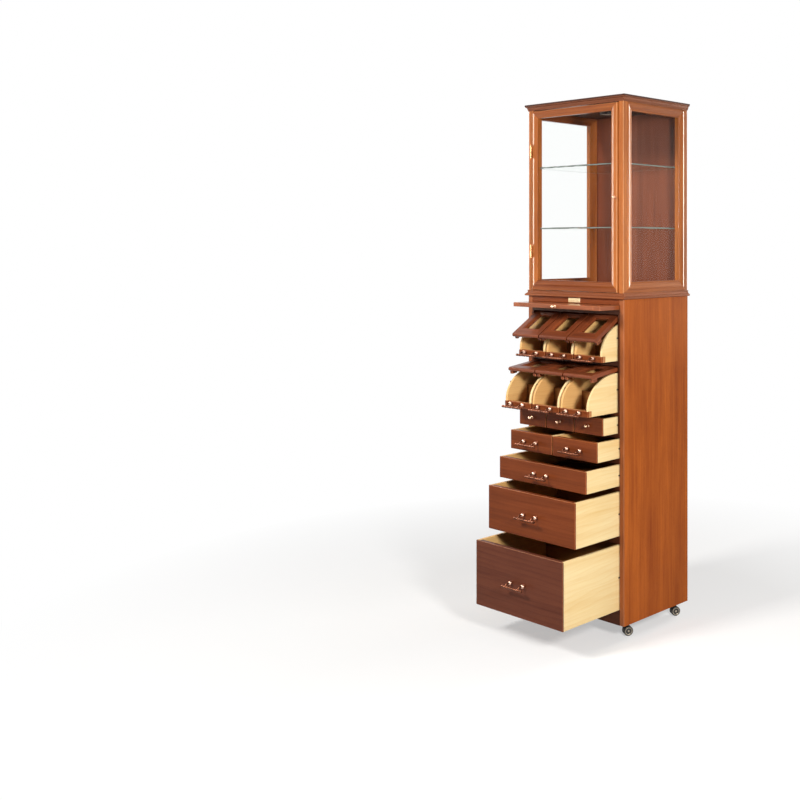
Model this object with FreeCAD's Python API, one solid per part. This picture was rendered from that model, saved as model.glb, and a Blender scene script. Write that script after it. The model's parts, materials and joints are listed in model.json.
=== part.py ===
import FreeCAD, Part
import os
from math import cos, pi, radians, sin

# Haberdashery cabinet on castors: a chest of drawers, two rows of scoop bins under glazed
# flaps, a writing slide, and a glazed display case on top. Millimetres, +Z up, front to -Y.
# While it is built, Y = 0 is the carcass's front plane and Z = 0 the floor. The drawers, bins
# and writing slide stand part way open at rest, and each *_OPEN value says how far.

# Carcass
CARCASS_WIDTH = 490.0
CARCASS_DEPTH = 390.0
SIDE_PANEL = 20.0
BACK_PANEL = 8.0
BASE_BOARD = 18.0
CASTOR_HEIGHT = 56.0
PLINTH_HEIGHT = 54.0
PLINTH_THICK = 20.0

# Clearances
SIDE_GAP = 4.0          # beside a drawer, bin or flap
RUN_GAP = 1.0           # under a drawer, bin or slide
TOP_GAP = 2.0           # over a drawer
SLIDE_GAP = 1.0         # over the writing slide
SLIDE_SIDE_GAP = 3.0    # beside the writing slide
REAR_GAP = 7.0          # between a shut drawer and the back panel
PARTITION_GAP = 0.5     # between a partition and the drawer beside it
PIN_GAP = 0.05          # radial, round a hinge pin, axle or swivel stem
TURN_GAP = 0.4          # between parts that turn past each other
DOOR_GAP = 2.0          # round the display case's door

# Drawers, from the bottom: height of the front, how far it stands open, drawers side by side
DRAWER_HEIGHTS = [240.0, 163.0, 80.0, 72.0, 63.0]
DRAWER_OPEN = [300.0, 237.0, 180.0, 121.0, 81.0]
DRAWER_COUNTS = [1, 1, 1, 2, 3]
DRAWER_NAMES = [["deep_drawer"], ["large_drawer"], ["shallow_drawer"],
                ["half_drawer_left", "half_drawer_right"],
                ["small_drawer_left", "small_drawer_middle", "small_drawer_right"]]
SHELF_OVER_DRAWERS = [28.0, 17.0, 19.0, 15.0, 11.0]
DRAWER_FRONT = 20.0
DRAWER_LAP = 6.0        # front left standing over the end of each drawer side
DRAWER_SIDE = 12.0
DRAWER_BOTTOM = 6.0
DRAWER_BOTTOM_RISE = 6.0
DRAWER_BACK_DROP = 10.0

# Scoop bins under their flaps
BIN_ROWS = ["lower", "upper"]
BIN_COLUMNS = ["left", "middle", "right"]
BIN_OPENING = 171.0
BIN_OPEN = [160.0, 85.0]
BIN_SHUT_SETBACK = 65.0  # the shut bin's lip stands this far behind the carcass's front
FLAP_AT_REST = [83.0, 58.5]  # degrees up from shut
SHELF_OVER_BINS = 18.0
CHEEK = 8.0
PARTITION = 3.0
BIN_SIDE = 12.0
BIN_BOTTOM = 8.0
BIN_LIP_HEIGHT = 22.0
BIN_LIP_THICK = 20.0
BIN_NOSE_HEIGHT = 28.0
BIN_NOSE_SETBACK = 2.0
BIN_ARC_LENGTH = 165.0
BIN_ARC_HEIGHT = 117.0
BIN_ARC_POINTS = 9
BIN_DIVIDER_SETBACK = 108.0
BIN_DIVIDER_THICK = 8.0
BIN_DIVIDER_HEIGHT = 75.0
BIN_HANDLE_RISE = 14.5

# Flaps
FLAP_THICK = 15.0
FLAP_STILE = 35.0
FLAP_TOP_RAIL = 22.0
FLAP_BOTTOM_RAIL = 48.0
FLAP_BEVEL = 5.0
FLAP_FACE_SETBACK = 4.5
FLAP_FOOT_GAP = 4.5
FLAP_HEAD_GAP = 3.5
FLAP_ROD_RADIUS = 2.5
FLAP_PAD_WIDTH = 14.0   # the pads stand behind the flap's foot, one at each corner
FLAP_PAD_LENGTH = 26.0
FLAP_PAD_DEPTH = 12.0
PANE = 3.0
PANE_GROOVE = 5.0

# Writing slide and the rail over it
SLIDE_THICK = 16.0
SLIDE_LENGTH = 360.0
SLIDE_OPEN = 106.0
TOP_BOARD = 21.0
PLATE_WIDTH = 60.0
PLATE_HEIGHT = 17.0
PLATE_THICK = 1.5

# Handles and knobs
HANDLE_CENTRES = 64.0
HANDLE_LENGTH = 104.0
HANDLE_ROSE_RADIUS = 7.0
HANDLE_ROSE_THICK = 3.0
HANDLE_ARM_RADIUS = 4.0
HANDLE_BAR_RADIUS = 5.0
HANDLE_BAR_WAIST = 3.5
HANDLE_BAR_TIP = 2.5
HANDLE_REACH = 37.0
HANDLE_DROP = 9.0
KNOB_BASE_RADIUS = 5.5
KNOB_BASE_THICK = 2.0
KNOB_NECK_RADIUS = 3.0
KNOB_RADIUS = 7.0
KNOB_REACH = 20.0
SLIDE_KNOB_RADIUS = 6.0
GUIDE_BUTTON_RADIUS = 4.0
GUIDE_BUTTON_GAP = 0.6
GUIDE_BUTTON_SETBACK = 8.0

# Display case
WAIST_PLATE_THICK = 8.0
WAIST_PLATE_OVERHANG = 11.0
WAIST_BOARD_THICK = 14.0
WAIST_BOARD_OVERHANG = 4.0
CASE_HEIGHT = 704.0
CORNICE_BOARD_THICK = 18.0
CORNICE_BOARD_OVERHANG = 5.0
CORNICE_PLATE_THICK = 6.0
CORNICE_PLATE_OVERHANG = 11.0
POST_WIDTH = 25.0
SIDE_STILE = 52.0
SIDE_TOP_RAIL = 32.0
SIDE_BOTTOM_RAIL = 41.0
SIDE_BEVEL = 8.0
SIDE_PANE_SETBACK = 15.0
CASE_PANE = 4.0
DOOR_THICK = 20.0
DOOR_PROUD = 10.0
DOOR_STILE = 29.0
DOOR_TOP_RAIL = 28.0
DOOR_BOTTOM_RAIL = 38.0
DOOR_BEVEL = 8.0
DOOR_FLAT = 8.0
DOOR_PANE_SETBACK = 10.0
DOOR_KNOB_HEIGHT = 1625.0
DOOR_KNOB_RADIUS = 6.0
DOOR_KNOB_REACH = 13.0
DOOR_KNOB_INSET = 8.0
HINGE_HEIGHTS = [1400.0, 1790.0]
HINGE_LENGTH = 50.0
HINGE_LEAF = 0.8
HINGE_LEAF_DEPTH = 16.0
HINGE_BARREL_RADIUS = 3.0
HINGE_PIN_RADIUS = 1.5
GLASS_SHELF_HEIGHTS = [1511.0, 1748.0]
GLASS_SHELF_THICK = 6.0
GLASS_SHELF_GAP = 2.0
GLASS_SHELF_SETBACK = 14.0
PEG_RADIUS = 2.5
PEG_LENGTH = 18.0
PEG_IN_POST = 10.0
PEG_SETBACK = 30.0
LAMP_RADIUS = 30.0
LAMP_DROP = 15.0
LAMP_SUNK = 3.0

# Castors
CASTOR_INSET_X = 45.0
CASTOR_FRONT_INSET = 55.0
CASTOR_REAR_INSET = 45.0
CASTOR_TRAIL = 14.0
CASTOR_HEADING = 30.0
CASTOR_STEM_RADIUS = 4.0
CASTOR_STEM_LENGTH = 14.0
CASTOR_COLLAR_RADIUS = 14.0
CASTOR_COLLAR_THICK = 4.0
CASTOR_WEB = 8.0
WHEEL_RADIUS = 18.0
WHEEL_THICK = 9.0
AXLE_RADIUS = 2.5

# Worked out from the sizes above
HALF_WIDTH = CARCASS_WIDTH / 2
INNER_HALF = HALF_WIDTH - SIDE_PANEL
CHEEK_HALF = INNER_HALF - CHEEK
INNER_DEPTH = CARCASS_DEPTH - BACK_PANEL
DRAWER_LENGTH = INNER_DEPTH - REAR_GAP
BIN_LENGTH = DRAWER_LENGTH - BIN_SHUT_SETBACK
FLAP_HINGE_Y = FLAP_FACE_SETBACK + FLAP_THICK / 2
FLAP_HEIGHT = BIN_OPENING - FLAP_FOOT_GAP - FLAP_HEAD_GAP - FLAP_THICK / 2
FLAP_REACH = FLAP_HEIGHT - FLAP_THICK / 2
FLAP_HINGE_RISE = FLAP_FOOT_GAP + FLAP_HEIGHT
DOOR_HALF = HALF_WIDTH - POST_WIDTH - DOOR_GAP
REST_FRONT = DRAWER_OPEN[0] + HANDLE_REACH
SHIFT_Y = (REST_FRONT - CARCASS_DEPTH) / 2  # puts the origin under the middle of the whole

UP = FreeCAD.Vector(0, 0, 1)
ACROSS = FreeCAD.Vector(1, 0, 0)
FORWARD = FreeCAD.Vector(0, -1, 0)

nodes = {}


def add(name, *solids):
    nodes.setdefault(name, []).extend(solids)


def box(x0, x1, y0, y1, z0, z1):
    return Part.makeBox(x1 - x0, y1 - y0, z1 - z0, FreeCAD.Vector(x0, y0, z0))


def rod(radius, start, axis, length):
    return Part.makeCylinder(radius, length, FreeCAD.Vector(*start), axis)


def moved(shape, x=0.0, y=0.0, z=0.0):
    return shape.translated(FreeCAD.Vector(x, y, z))


def prism(points, direction):
    corners = [FreeCAD.Vector(*p) for p in points]
    return Part.Face(Part.makePolygon(corners + corners[:1])).extrude(direction)


def turned(shape, centre, axis, degrees):
    turned_shape = shape.copy()
    turned_shape.rotate(FreeCAD.Vector(*centre), axis, degrees)
    return turned_shape


def storeys():
    """Bottom of each opening, from the lowest drawer to the writing slide, and the boards."""
    level = CASTOR_HEIGHT + PLINTH_HEIGHT
    bottoms, boards = [], []
    heights = [h + RUN_GAP + TOP_GAP for h in DRAWER_HEIGHTS] + [BIN_OPENING] * len(BIN_ROWS)
    shelves = SHELF_OVER_DRAWERS + [SHELF_OVER_BINS] * len(BIN_ROWS)
    for height, shelf in zip(heights + [SLIDE_THICK + RUN_GAP + SLIDE_GAP], shelves + [TOP_BOARD]):
        bottoms.append(level)
        level += height
        boards.append((level, level + shelf))
        level += shelf
    return bottoms, boards


def row_spans(half, count):
    """Left and right edges of things that stand side by side between -half and half."""
    inner = half - SIDE_GAP
    width = (2 * inner - (count - 1) * SIDE_GAP) / count
    return [(-inner + n * (width + SIDE_GAP), -inner + n * (width + SIDE_GAP) + width)
            for n in range(count)]


def framed(width, height, thick, stile, top_rail, bottom_rail, flat, bevel):
    """Four mitred members round an opening, standing in XZ with the face at y = 0. Each slopes
    back from the outer flat strip to the opening's edge."""
    half = width / 2
    inner = (-half + stile, half - stile, bottom_rail, height - top_rail)
    frame = box(-half, half, 0, thick, 0, height)
    frame = frame.cut(box(inner[0], inner[1], -1, thick + 1, inner[2], inner[3]))
    outer = [(-half + flat, bottom_rail - stile + flat), (half - flat, bottom_rail - stile + flat),
             (half - flat, height - top_rail + stile - flat),
             (-half + flat, height - top_rail + stile - flat)]
    lips = [(inner[0], inner[2]), (inner[1], inner[2]), (inner[1], inner[3]), (inner[0], inner[3])]
    rings = [[FreeCAD.Vector(x, y, z) for x, z in ring] for ring, y in ((outer, 0), (lips, bevel))]
    wires = [Part.makePolygon(ring + ring[:1]) for ring in rings]
    frame = frame.cut(Part.makeLoft(wires, True, True))
    corners = [(-half, 0), (half, 0), (half, height), (-half, height)]
    members = []
    for n in range(4):
        m = (n + 1) % 4
        wedge = [corners[n], corners[m], lips[m], lips[n]]
        cutter = prism([(x, -1, z) for x, z in wedge], FreeCAD.Vector(0, thick + 2, 0))
        members.append(frame.common(cutter).Solids[0])
    return members


def glazed(members, width, height, stile, top_rail, bottom_rail, setback, pane_thick):
    """The members with a groove all round for the pane, and the pane itself."""
    half = width / 2 - stile + PANE_GROOVE
    pane = box(-half, half, setback, setback + pane_thick,
               bottom_rail - PANE_GROOVE, height - top_rail + PANE_GROOVE)
    return [member.cut(pane) for member in members], pane


def handle():
    """A bridge handle, its two roses on the face y = 0: two arms carry a turned bar."""
    solids = []
    bar_y = -HANDLE_REACH + HANDLE_BAR_RADIUS
    for x in (-HANDLE_CENTRES / 2, HANDLE_CENTRES / 2):
        solids.append(rod(HANDLE_ROSE_RADIUS, (x, 0, 0), FORWARD, HANDLE_ROSE_THICK))
        crest = FreeCAD.Vector(x, bar_y * 0.6, HANDLE_ARM_RADIUS / 2)
        arc = Part.Arc(FreeCAD.Vector(x, 0, 0), crest, FreeCAD.Vector(x, bar_y, -HANDLE_DROP))
        path = arc.toShape()
        ring = Part.Wire(Part.makeCircle(HANDLE_ARM_RADIUS, FreeCAD.Vector(x, 0, 0),
                                         path.tangentAt(path.FirstParameter)))
        solids.append(Part.Wire(path).makePipeShell([ring], True, False))
    half = HANDLE_LENGTH / 2
    knee = HANDLE_CENTRES / 2
    outline = [(-half, 0), (-half, HANDLE_BAR_TIP), (-knee, HANDLE_BAR_RADIUS),
               (-knee / 2, HANDLE_BAR_WAIST), (0, HANDLE_BAR_RADIUS), (knee / 2, HANDLE_BAR_WAIST),
               (knee, HANDLE_BAR_RADIUS), (half, HANDLE_BAR_TIP), (half, 0)]
    corners = [FreeCAD.Vector(x, bar_y, -HANDLE_DROP + r) for x, r in outline]
    bar_face = Part.Face(Part.makePolygon(corners + corners[:1]))
    bar = bar_face.revolve(FreeCAD.Vector(0, bar_y, -HANDLE_DROP), ACROSS, 360)
    behind = box(-half, half, 0, HANDLE_REACH, -HANDLE_REACH, HANDLE_REACH)
    return bar.fuse(solids).cut(behind).removeSplitter().Solids[0]


def knob(radius, reach):
    """A round knob on a neck, its base on the face y = 0."""
    centre = -reach + radius
    base = rod(KNOB_BASE_RADIUS, (0, 0, 0), FORWARD, KNOB_BASE_THICK)
    neck = rod(KNOB_NECK_RADIUS, (0, 0, 0), FORWARD, -centre)
    ball = Part.makeSphere(radius, FreeCAD.Vector(0, centre, 0))
    return base.fuse([neck, ball]).removeSplitter().Solids[0]


def drawer(x0, x1, z0, height, opened):
    """Front lapped over two sides, with a back and a bottom between them."""
    y0, y1 = -opened, DRAWER_LENGTH - opened
    lap = y0 + DRAWER_LAP
    front = box(x0, x1, y0, y0 + DRAWER_FRONT, z0, z0 + height)
    sides = [box(a, b, lap, y1, z0, z0 + height)
             for a, b in ((x0, x0 + DRAWER_SIDE), (x1 - DRAWER_SIDE, x1))]
    a, b = x0 + DRAWER_SIDE, x1 - DRAWER_SIDE
    bottom_z = z0 + DRAWER_BOTTOM_RISE
    bottom = box(a, b, y0 + DRAWER_FRONT, y1, bottom_z, bottom_z + DRAWER_BOTTOM)
    back = box(a, b, y1 - DRAWER_SIDE, y1, bottom_z + DRAWER_BOTTOM, z0 + height - DRAWER_BACK_DROP)
    return [front.cut(sides[0]).cut(sides[1])] + sides + [bottom, back]


def bin_side(x0, x1):
    """A scoop bin's side: a short upright nose, then a quarter ellipse up to the level top."""
    top = BIN_NOSE_HEIGHT + BIN_ARC_HEIGHT
    arc = []
    for n in range(BIN_ARC_POINTS):
        t = pi / 2 * n / (BIN_ARC_POINTS - 1)
        arc.append(FreeCAD.Vector(x0, BIN_NOSE_SETBACK + BIN_ARC_LENGTH * (1 - cos(t)),
                                  BIN_NOSE_HEIGHT + BIN_ARC_HEIGHT * sin(t)))
    curve = Part.BSplineCurve()
    curve.interpolate(arc, InitialTangent=UP, FinalTangent=FreeCAD.Vector(0, 1, 0))
    corners = [arc[-1]] + [FreeCAD.Vector(x0, y, z) for y, z in (
        (BIN_LENGTH, top), (BIN_LENGTH, 0), (BIN_LIP_THICK, 0), (BIN_LIP_THICK, BIN_LIP_HEIGHT),
        (BIN_NOSE_SETBACK, BIN_LIP_HEIGHT), (BIN_NOSE_SETBACK, BIN_NOSE_HEIGHT))]
    edges = [curve.toShape()] + Part.makePolygon(corners).Edges
    return Part.Face(Part.Wire(Part.__sortEdges__(edges))).extrude(FreeCAD.Vector(x1 - x0, 0, 0))


def scoop_bin(x0, x1):
    """Sides, front lip, bottom, low divider and back, with the lip's face at y = 0."""
    a, b = x0 + BIN_SIDE, x1 - BIN_SIDE
    top = BIN_NOSE_HEIGHT + BIN_ARC_HEIGHT
    divider_y = BIN_DIVIDER_SETBACK
    return [
        bin_side(x0, a),
        bin_side(b, x1),
        box(x0, x1, 0, BIN_LIP_THICK, 0, BIN_LIP_HEIGHT),
        box(a, b, BIN_LIP_THICK, BIN_LENGTH, 0, BIN_BOTTOM),
        box(a, b, divider_y, divider_y + BIN_DIVIDER_THICK, BIN_BOTTOM, BIN_DIVIDER_HEIGHT),
        box(a, b, BIN_LENGTH - BIN_SIDE, BIN_LENGTH, BIN_BOTTOM, top),
    ]


def flap(width):
    """A glazed flap hanging from its rod, which runs along X through the origin: four mitred
    members, their top and foot rounded over, round one pane, and two pads behind its foot."""
    height = FLAP_HEIGHT
    half = width / 2
    centre = FLAP_THICK / 2
    sizes = (FLAP_STILE, FLAP_TOP_RAIL - centre, FLAP_BOTTOM_RAIL)
    members = framed(width, height, FLAP_THICK, *sizes, FLAP_STILE - 2 * FLAP_BEVEL, FLAP_BEVEL)
    pane_y = (FLAP_THICK - PANE) / 2
    members, pane = glazed(members, width, height, *sizes, pane_y, PANE)
    foot, left, right, head = members[0], members[3], members[1], members[2]
    outline = box(-half, half, 0, FLAP_THICK, centre, height)
    outline = outline.fuse([rod(centre, (-half, centre, z), ACROSS, width) for z in (centre, height)])
    crown = rod(centre, (-half, centre, height), ACROSS, width)
    crown = crown.common(box(-half, half, 0, FLAP_THICK, height, height + centre))
    head = head.fuse(crown)
    bore = rod(FLAP_ROD_RADIUS + PIN_GAP, (-half, centre, height), ACROSS, width)
    members = [m.common(outline).cut(bore).Solids[0] for m in (foot, left, head, right)]
    back = (FLAP_THICK, FLAP_THICK + FLAP_PAD_DEPTH, centre, centre + FLAP_PAD_LENGTH)
    pads = [box(x, x + FLAP_PAD_WIDTH, *back) for x in (-half, half - FLAP_PAD_WIDTH)]
    return [moved(s, 0, -centre, -height) for s in members + pads + [pane]]


def build_carcass(bottoms, boards):
    top = boards[-1][1]
    for side in (-1, 1):
        x = side * HALF_WIDTH
        add("side_panels", box(min(x, x - side * SIDE_PANEL), max(x, x - side * SIDE_PANEL),
                               0, CARCASS_DEPTH, CASTOR_HEIGHT, top))
    add("back_panel", box(-INNER_HALF, INNER_HALF, INNER_DEPTH, CARCASS_DEPTH, CASTOR_HEIGHT, top))
    base = box(-INNER_HALF, INNER_HALF, PLINTH_THICK, INNER_DEPTH, CASTOR_HEIGHT,
               CASTOR_HEIGHT + BASE_BOARD)
    for x, y in castor_places():
        hole = rod(CASTOR_STEM_RADIUS + PIN_GAP, (x, y, CASTOR_HEIGHT), UP, CASTOR_STEM_LENGTH + RUN_GAP)
        base = base.cut(hole)
    add("base", base, box(-INNER_HALF, INNER_HALF, 0, PLINTH_THICK, CASTOR_HEIGHT, bottoms[0]),
        box(-INNER_HALF, INNER_HALF, PLINTH_THICK, INNER_DEPTH, bottoms[0] - BASE_BOARD, bottoms[0]))
    for low, high in boards:
        add("shelf_boards", box(-INNER_HALF, INNER_HALF, 0, INNER_DEPTH, low, high))


def build_partitions(bottoms, boards):
    """Upright partitions between neighbours, and cheeks beside the narrower rows."""
    for n, count in enumerate(DRAWER_COUNTS + [len(BIN_COLUMNS)] * len(BIN_ROWS)):
        low, high = bottoms[n], boards[n][0]
        narrow = count == len(BIN_COLUMNS)
        spans = row_spans(CHEEK_HALF if narrow else INNER_HALF, count)
        walls = [(right + PARTITION_GAP, right + SIDE_GAP - PARTITION_GAP) for _, right in spans[:-1]]
        if narrow:
            walls += [(-INNER_HALF, -CHEEK_HALF), (CHEEK_HALF, INNER_HALF)]
        for x0, x1 in walls:
            wall = box(x0, x1, 0, INNER_DEPTH, low, high)
            if n >= len(DRAWER_COUNTS):
                wall = wall.cut(flap_rod(low))
            add("partitions", wall)


def flap_rod(low):
    return rod(FLAP_ROD_RADIUS, (-INNER_HALF, FLAP_HINGE_Y, low + FLAP_HINGE_RISE), ACROSS, 2 * INNER_HALF)


def build_guide_buttons(bottoms, boards):
    """Low round buttons that centre each drawer and bin between its walls."""
    reach = SIDE_GAP - GUIDE_BUTTON_GAP
    for n, count in enumerate(DRAWER_COUNTS + [len(BIN_COLUMNS)] * len(BIN_ROWS)):
        wall = CHEEK_HALF if count == len(BIN_COLUMNS) else INNER_HALF
        middle = (bottoms[n] + boards[n][0]) / 2
        add("guide_buttons",
            rod(GUIDE_BUTTON_RADIUS, (-wall, GUIDE_BUTTON_SETBACK, middle), ACROSS, reach),
            rod(GUIDE_BUTTON_RADIUS, (wall - reach, GUIDE_BUTTON_SETBACK, middle), ACROSS, reach))


def build_drawers(bottoms):
    for n, names in enumerate(DRAWER_NAMES):
        small = DRAWER_COUNTS[n] == len(BIN_COLUMNS)
        half = CHEEK_HALF if small else INNER_HALF
        z0 = bottoms[n] + RUN_GAP
        for name, (x0, x1) in zip(names, row_spans(half, DRAWER_COUNTS[n])):
            add(name, *drawer(x0, x1, z0, DRAWER_HEIGHTS[n], DRAWER_OPEN[n]))
            place = ((x0 + x1) / 2, -DRAWER_OPEN[n], z0 + DRAWER_HEIGHTS[n] / 2)
            if small:
                add(name, moved(knob(KNOB_RADIUS, KNOB_REACH), *place))
            else:
                add(name + "_handle", moved(handle(), *place))


def build_bins(bottoms):
    for row, row_name in enumerate(BIN_ROWS):
        low = bottoms[len(DRAWER_COUNTS) + row]
        for column, (x0, x1) in zip(BIN_COLUMNS, row_spans(CHEEK_HALF, len(BIN_COLUMNS))):
            name = row_name + "_bin_" + column
            for solid in scoop_bin(x0, x1):
                add(name, moved(solid, 0, -BIN_OPEN[row], low + RUN_GAP))
            add(name + "_handle", moved(handle(), (x0 + x1) / 2, -BIN_OPEN[row],
                                        low + RUN_GAP + BIN_HANDLE_RISE))
            axis = (0, FLAP_HINGE_Y, low + FLAP_HINGE_RISE)
            for solid in flap(x1 - x0):
                hung = moved(solid, (x0 + x1) / 2, axis[1], axis[2])
                add(row_name + "_flap_" + column, turned(hung, axis, ACROSS, -FLAP_AT_REST[row]))
        add("flap_rods", flap_rod(low))


def build_writing_slide(bottoms, boards):
    z0 = bottoms[-1] + RUN_GAP
    half = INNER_HALF - SLIDE_SIDE_GAP
    add("writing_slide", box(-half, half, -SLIDE_OPEN, SLIDE_LENGTH - SLIDE_OPEN, z0, z0 + SLIDE_THICK),
        moved(knob(SLIDE_KNOB_RADIUS, KNOB_REACH), 0, -SLIDE_OPEN, z0 + SLIDE_THICK / 2))
    middle = (boards[-1][0] + boards[-1][1]) / 2
    add("name_plate", box(-PLATE_WIDTH / 2, PLATE_WIDTH / 2, -PLATE_THICK, 0,
                          middle - PLATE_HEIGHT / 2, middle + PLATE_HEIGHT / 2))


def ledge(overhang, low, thick):
    return box(-HALF_WIDTH - overhang, HALF_WIDTH + overhang, -overhang, CARCASS_DEPTH, low, low + thick)


def build_case(floor):
    """The display case's fixed parts, standing on the carcass's top at floor."""
    add("waist_moulding", ledge(WAIST_PLATE_OVERHANG, floor, WAIST_PLATE_THICK),
        ledge(WAIST_BOARD_OVERHANG, floor + WAIST_PLATE_THICK, WAIST_BOARD_THICK))
    low = floor + WAIST_PLATE_THICK + WAIST_BOARD_THICK
    high = low + CASE_HEIGHT
    sizes = (SIDE_STILE, SIDE_TOP_RAIL, SIDE_BOTTOM_RAIL)
    members = framed(CARCASS_DEPTH, CASE_HEIGHT, POST_WIDTH, *sizes, SIDE_STILE - 3 * SIDE_BEVEL, SIDE_BEVEL)
    members, pane = glazed(members, CARCASS_DEPTH, CASE_HEIGHT, *sizes, SIDE_PANE_SETBACK, CASE_PANE)
    for side in (-1, 1):
        for name, solids in (("case_side_frames", members), ("case_side_panes", [pane])):
            for solid in solids:
                placed = turned(solid, (0, 0, 0), UP, 90 * side)
                add(name, moved(placed, side * HALF_WIDTH, CARCASS_DEPTH / 2, low))
    inner = HALF_WIDTH - POST_WIDTH
    add("case_back", box(-inner, inner, INNER_DEPTH, CARCASS_DEPTH, low, high))
    lamp = rod(LAMP_RADIUS, (0, CARCASS_DEPTH / 2, high - LAMP_DROP), UP, LAMP_DROP + LAMP_SUNK)
    add("cornice", ledge(CORNICE_BOARD_OVERHANG, high, CORNICE_BOARD_THICK).cut(lamp),
        ledge(CORNICE_PLATE_OVERHANG, high + CORNICE_BOARD_THICK, CORNICE_PLATE_THICK))
    add("ceiling_lamp", lamp)
    width = inner - GLASS_SHELF_GAP
    for height in GLASS_SHELF_HEIGHTS:
        add("glass_shelves", box(-width, width, GLASS_SHELF_SETBACK, INNER_DEPTH - GLASS_SHELF_GAP,
                                 height, height + GLASS_SHELF_THICK))
        for side in (-1, 1):
            for y in (PEG_SETBACK, CARCASS_DEPTH - PEG_SETBACK):
                start = (side * (inner + PEG_IN_POST), y, height - PEG_RADIUS)
                peg = rod(PEG_RADIUS, start, ACROSS * -side, PEG_LENGTH)
                nodes["case_side_frames"] = [s.cut(peg) for s in nodes["case_side_frames"]]
                add("shelf_pegs", peg)
    return low


def build_door(low):
    z0 = low + DOOR_GAP
    height = CASE_HEIGHT - 3 * DOOR_GAP
    sizes = (DOOR_STILE, DOOR_TOP_RAIL, DOOR_BOTTOM_RAIL)
    members = framed(2 * DOOR_HALF, height, DOOR_THICK, *sizes, DOOR_FLAT, DOOR_BEVEL)
    members, pane = glazed(members, 2 * DOOR_HALF, height, *sizes, DOOR_PANE_SETBACK, CASE_PANE)
    add("door_frame", *[moved(m, 0, -DOOR_PROUD, z0) for m in members])
    add("door_pane", moved(pane, 0, -DOOR_PROUD, z0))
    add("door_fittings", moved(knob(DOOR_KNOB_RADIUS, DOOR_KNOB_REACH), DOOR_HALF - DOOR_KNOB_INSET,
                               -DOOR_PROUD, DOOR_KNOB_HEIGHT))
    axis_x, axis_y = hinge_axis()
    knuckle = HINGE_LENGTH / 2
    for base in HINGE_HEIGHTS:
        leaf_y = axis_y + HINGE_LEAF_DEPTH + HINGE_BARREL_RADIUS
        barrel = rod(HINGE_BARREL_RADIUS, (axis_x, axis_y, base), UP, knuckle)
        pin = rod(HINGE_PIN_RADIUS, (axis_x, axis_y, base), UP, HINGE_LENGTH)
        fixed = box(-DOOR_HALF - DOOR_GAP, -DOOR_HALF - DOOR_GAP + HINGE_LEAF, axis_y, leaf_y + DOOR_PROUD,
                    base, base + HINGE_LENGTH)
        swinging = box(-DOOR_HALF - HINGE_LEAF, -DOOR_HALF, axis_y, leaf_y, base, base + HINGE_LENGTH)
        room = HINGE_BARREL_RADIUS + TURN_GAP
        fixed = fixed.cut(rod(room, (axis_x, axis_y, base + knuckle), UP, knuckle))
        swinging = swinging.cut(rod(room, (axis_x, axis_y, base), UP, knuckle + TURN_GAP))
        upper = moved(rod(HINGE_BARREL_RADIUS, (axis_x, axis_y, base), UP, knuckle - TURN_GAP),
                      0, 0, knuckle + TURN_GAP)
        bore = rod(HINGE_PIN_RADIUS + PIN_GAP, (axis_x, axis_y, base), UP, HINGE_LENGTH)
        add("door_hinges", fixed.fuse([barrel, pin]).removeSplitter().Solids[0])
        add("door_fittings", swinging.fuse(upper).cut(bore).removeSplitter().Solids[0])


def hinge_axis():
    return -DOOR_HALF - DOOR_GAP / 2, -DOOR_PROUD - HINGE_BARREL_RADIUS


def castor_places():
    """The swivel axes of the four castors: front left, front right, rear left, rear right."""
    return [(side * (HALF_WIDTH - CASTOR_INSET_X), y) for y in (
        CASTOR_FRONT_INSET, CARCASS_DEPTH - CASTOR_REAR_INSET) for side in (-1, 1)]


def castor():
    """The swivelling body and its pair of wheels on one axle. The stem is on the Z axis, and the
    wheels trail along +Y."""
    hub_y, hub_z = CASTOR_TRAIL, WHEEL_RADIUS
    collar_z = CASTOR_HEIGHT - TURN_GAP - CASTOR_COLLAR_THICK
    web = box(-CASTOR_WEB / 2, CASTOR_WEB / 2, -CASTOR_STEM_RADIUS, hub_y + CASTOR_STEM_RADIUS,
              hub_z, collar_z)
    hub = rod(CASTOR_WEB, (-CASTOR_WEB / 2, hub_y, hub_z), ACROSS, CASTOR_WEB)
    collar = rod(CASTOR_COLLAR_RADIUS, (0, 0, collar_z), UP, CASTOR_COLLAR_THICK)
    stem = rod(CASTOR_STEM_RADIUS, (0, 0, collar_z), UP,
               CASTOR_COLLAR_THICK + TURN_GAP + CASTOR_STEM_LENGTH)
    half = CASTOR_WEB / 2 + TURN_GAP + WHEEL_THICK
    bore = rod(AXLE_RADIUS + PIN_GAP, (-half, hub_y, hub_z), ACROSS, 2 * half)
    body = web.fuse([hub, collar, stem]).cut(bore).removeSplitter().Solids[0]
    wheels = [rod(WHEEL_RADIUS, (x, hub_y, hub_z), ACROSS, WHEEL_THICK) for x in (-half, half - WHEEL_THICK)]
    axle = rod(AXLE_RADIUS, (-half, hub_y, hub_z), ACROSS, 2 * half)
    return body, axle.fuse(wheels).removeSplitter().Solids[0]


def build_castors():
    corners = ["front_left", "front_right", "rear_left", "rear_right"]
    for corner, (x, y) in zip(corners, castor_places()):
        for name, solid in zip(("_castor_body", "_castor_wheels"), castor()):
            add(corner + name, moved(turned(solid, (0, 0, 0), UP, -CASTOR_HEADING), x, y))


def export():
    os.makedirs("parts", exist_ok=True)
    for name, solids in nodes.items():
        placed = [moved(solid, 0, SHIFT_Y) for solid in solids]
        shape = placed[0] if len(placed) == 1 else Part.makeCompound(placed)
        shape.exportStep("parts/" + name + ".step")


def main():
    bottoms, boards = storeys()
    build_carcass(bottoms, boards)
    build_partitions(bottoms, boards)
    build_guide_buttons(bottoms, boards)
    build_drawers(bottoms)
    build_bins(bottoms)
    build_writing_slide(bottoms, boards)
    build_door(build_case(boards[-1][1]))
    build_castors()
    export()


main()
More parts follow.
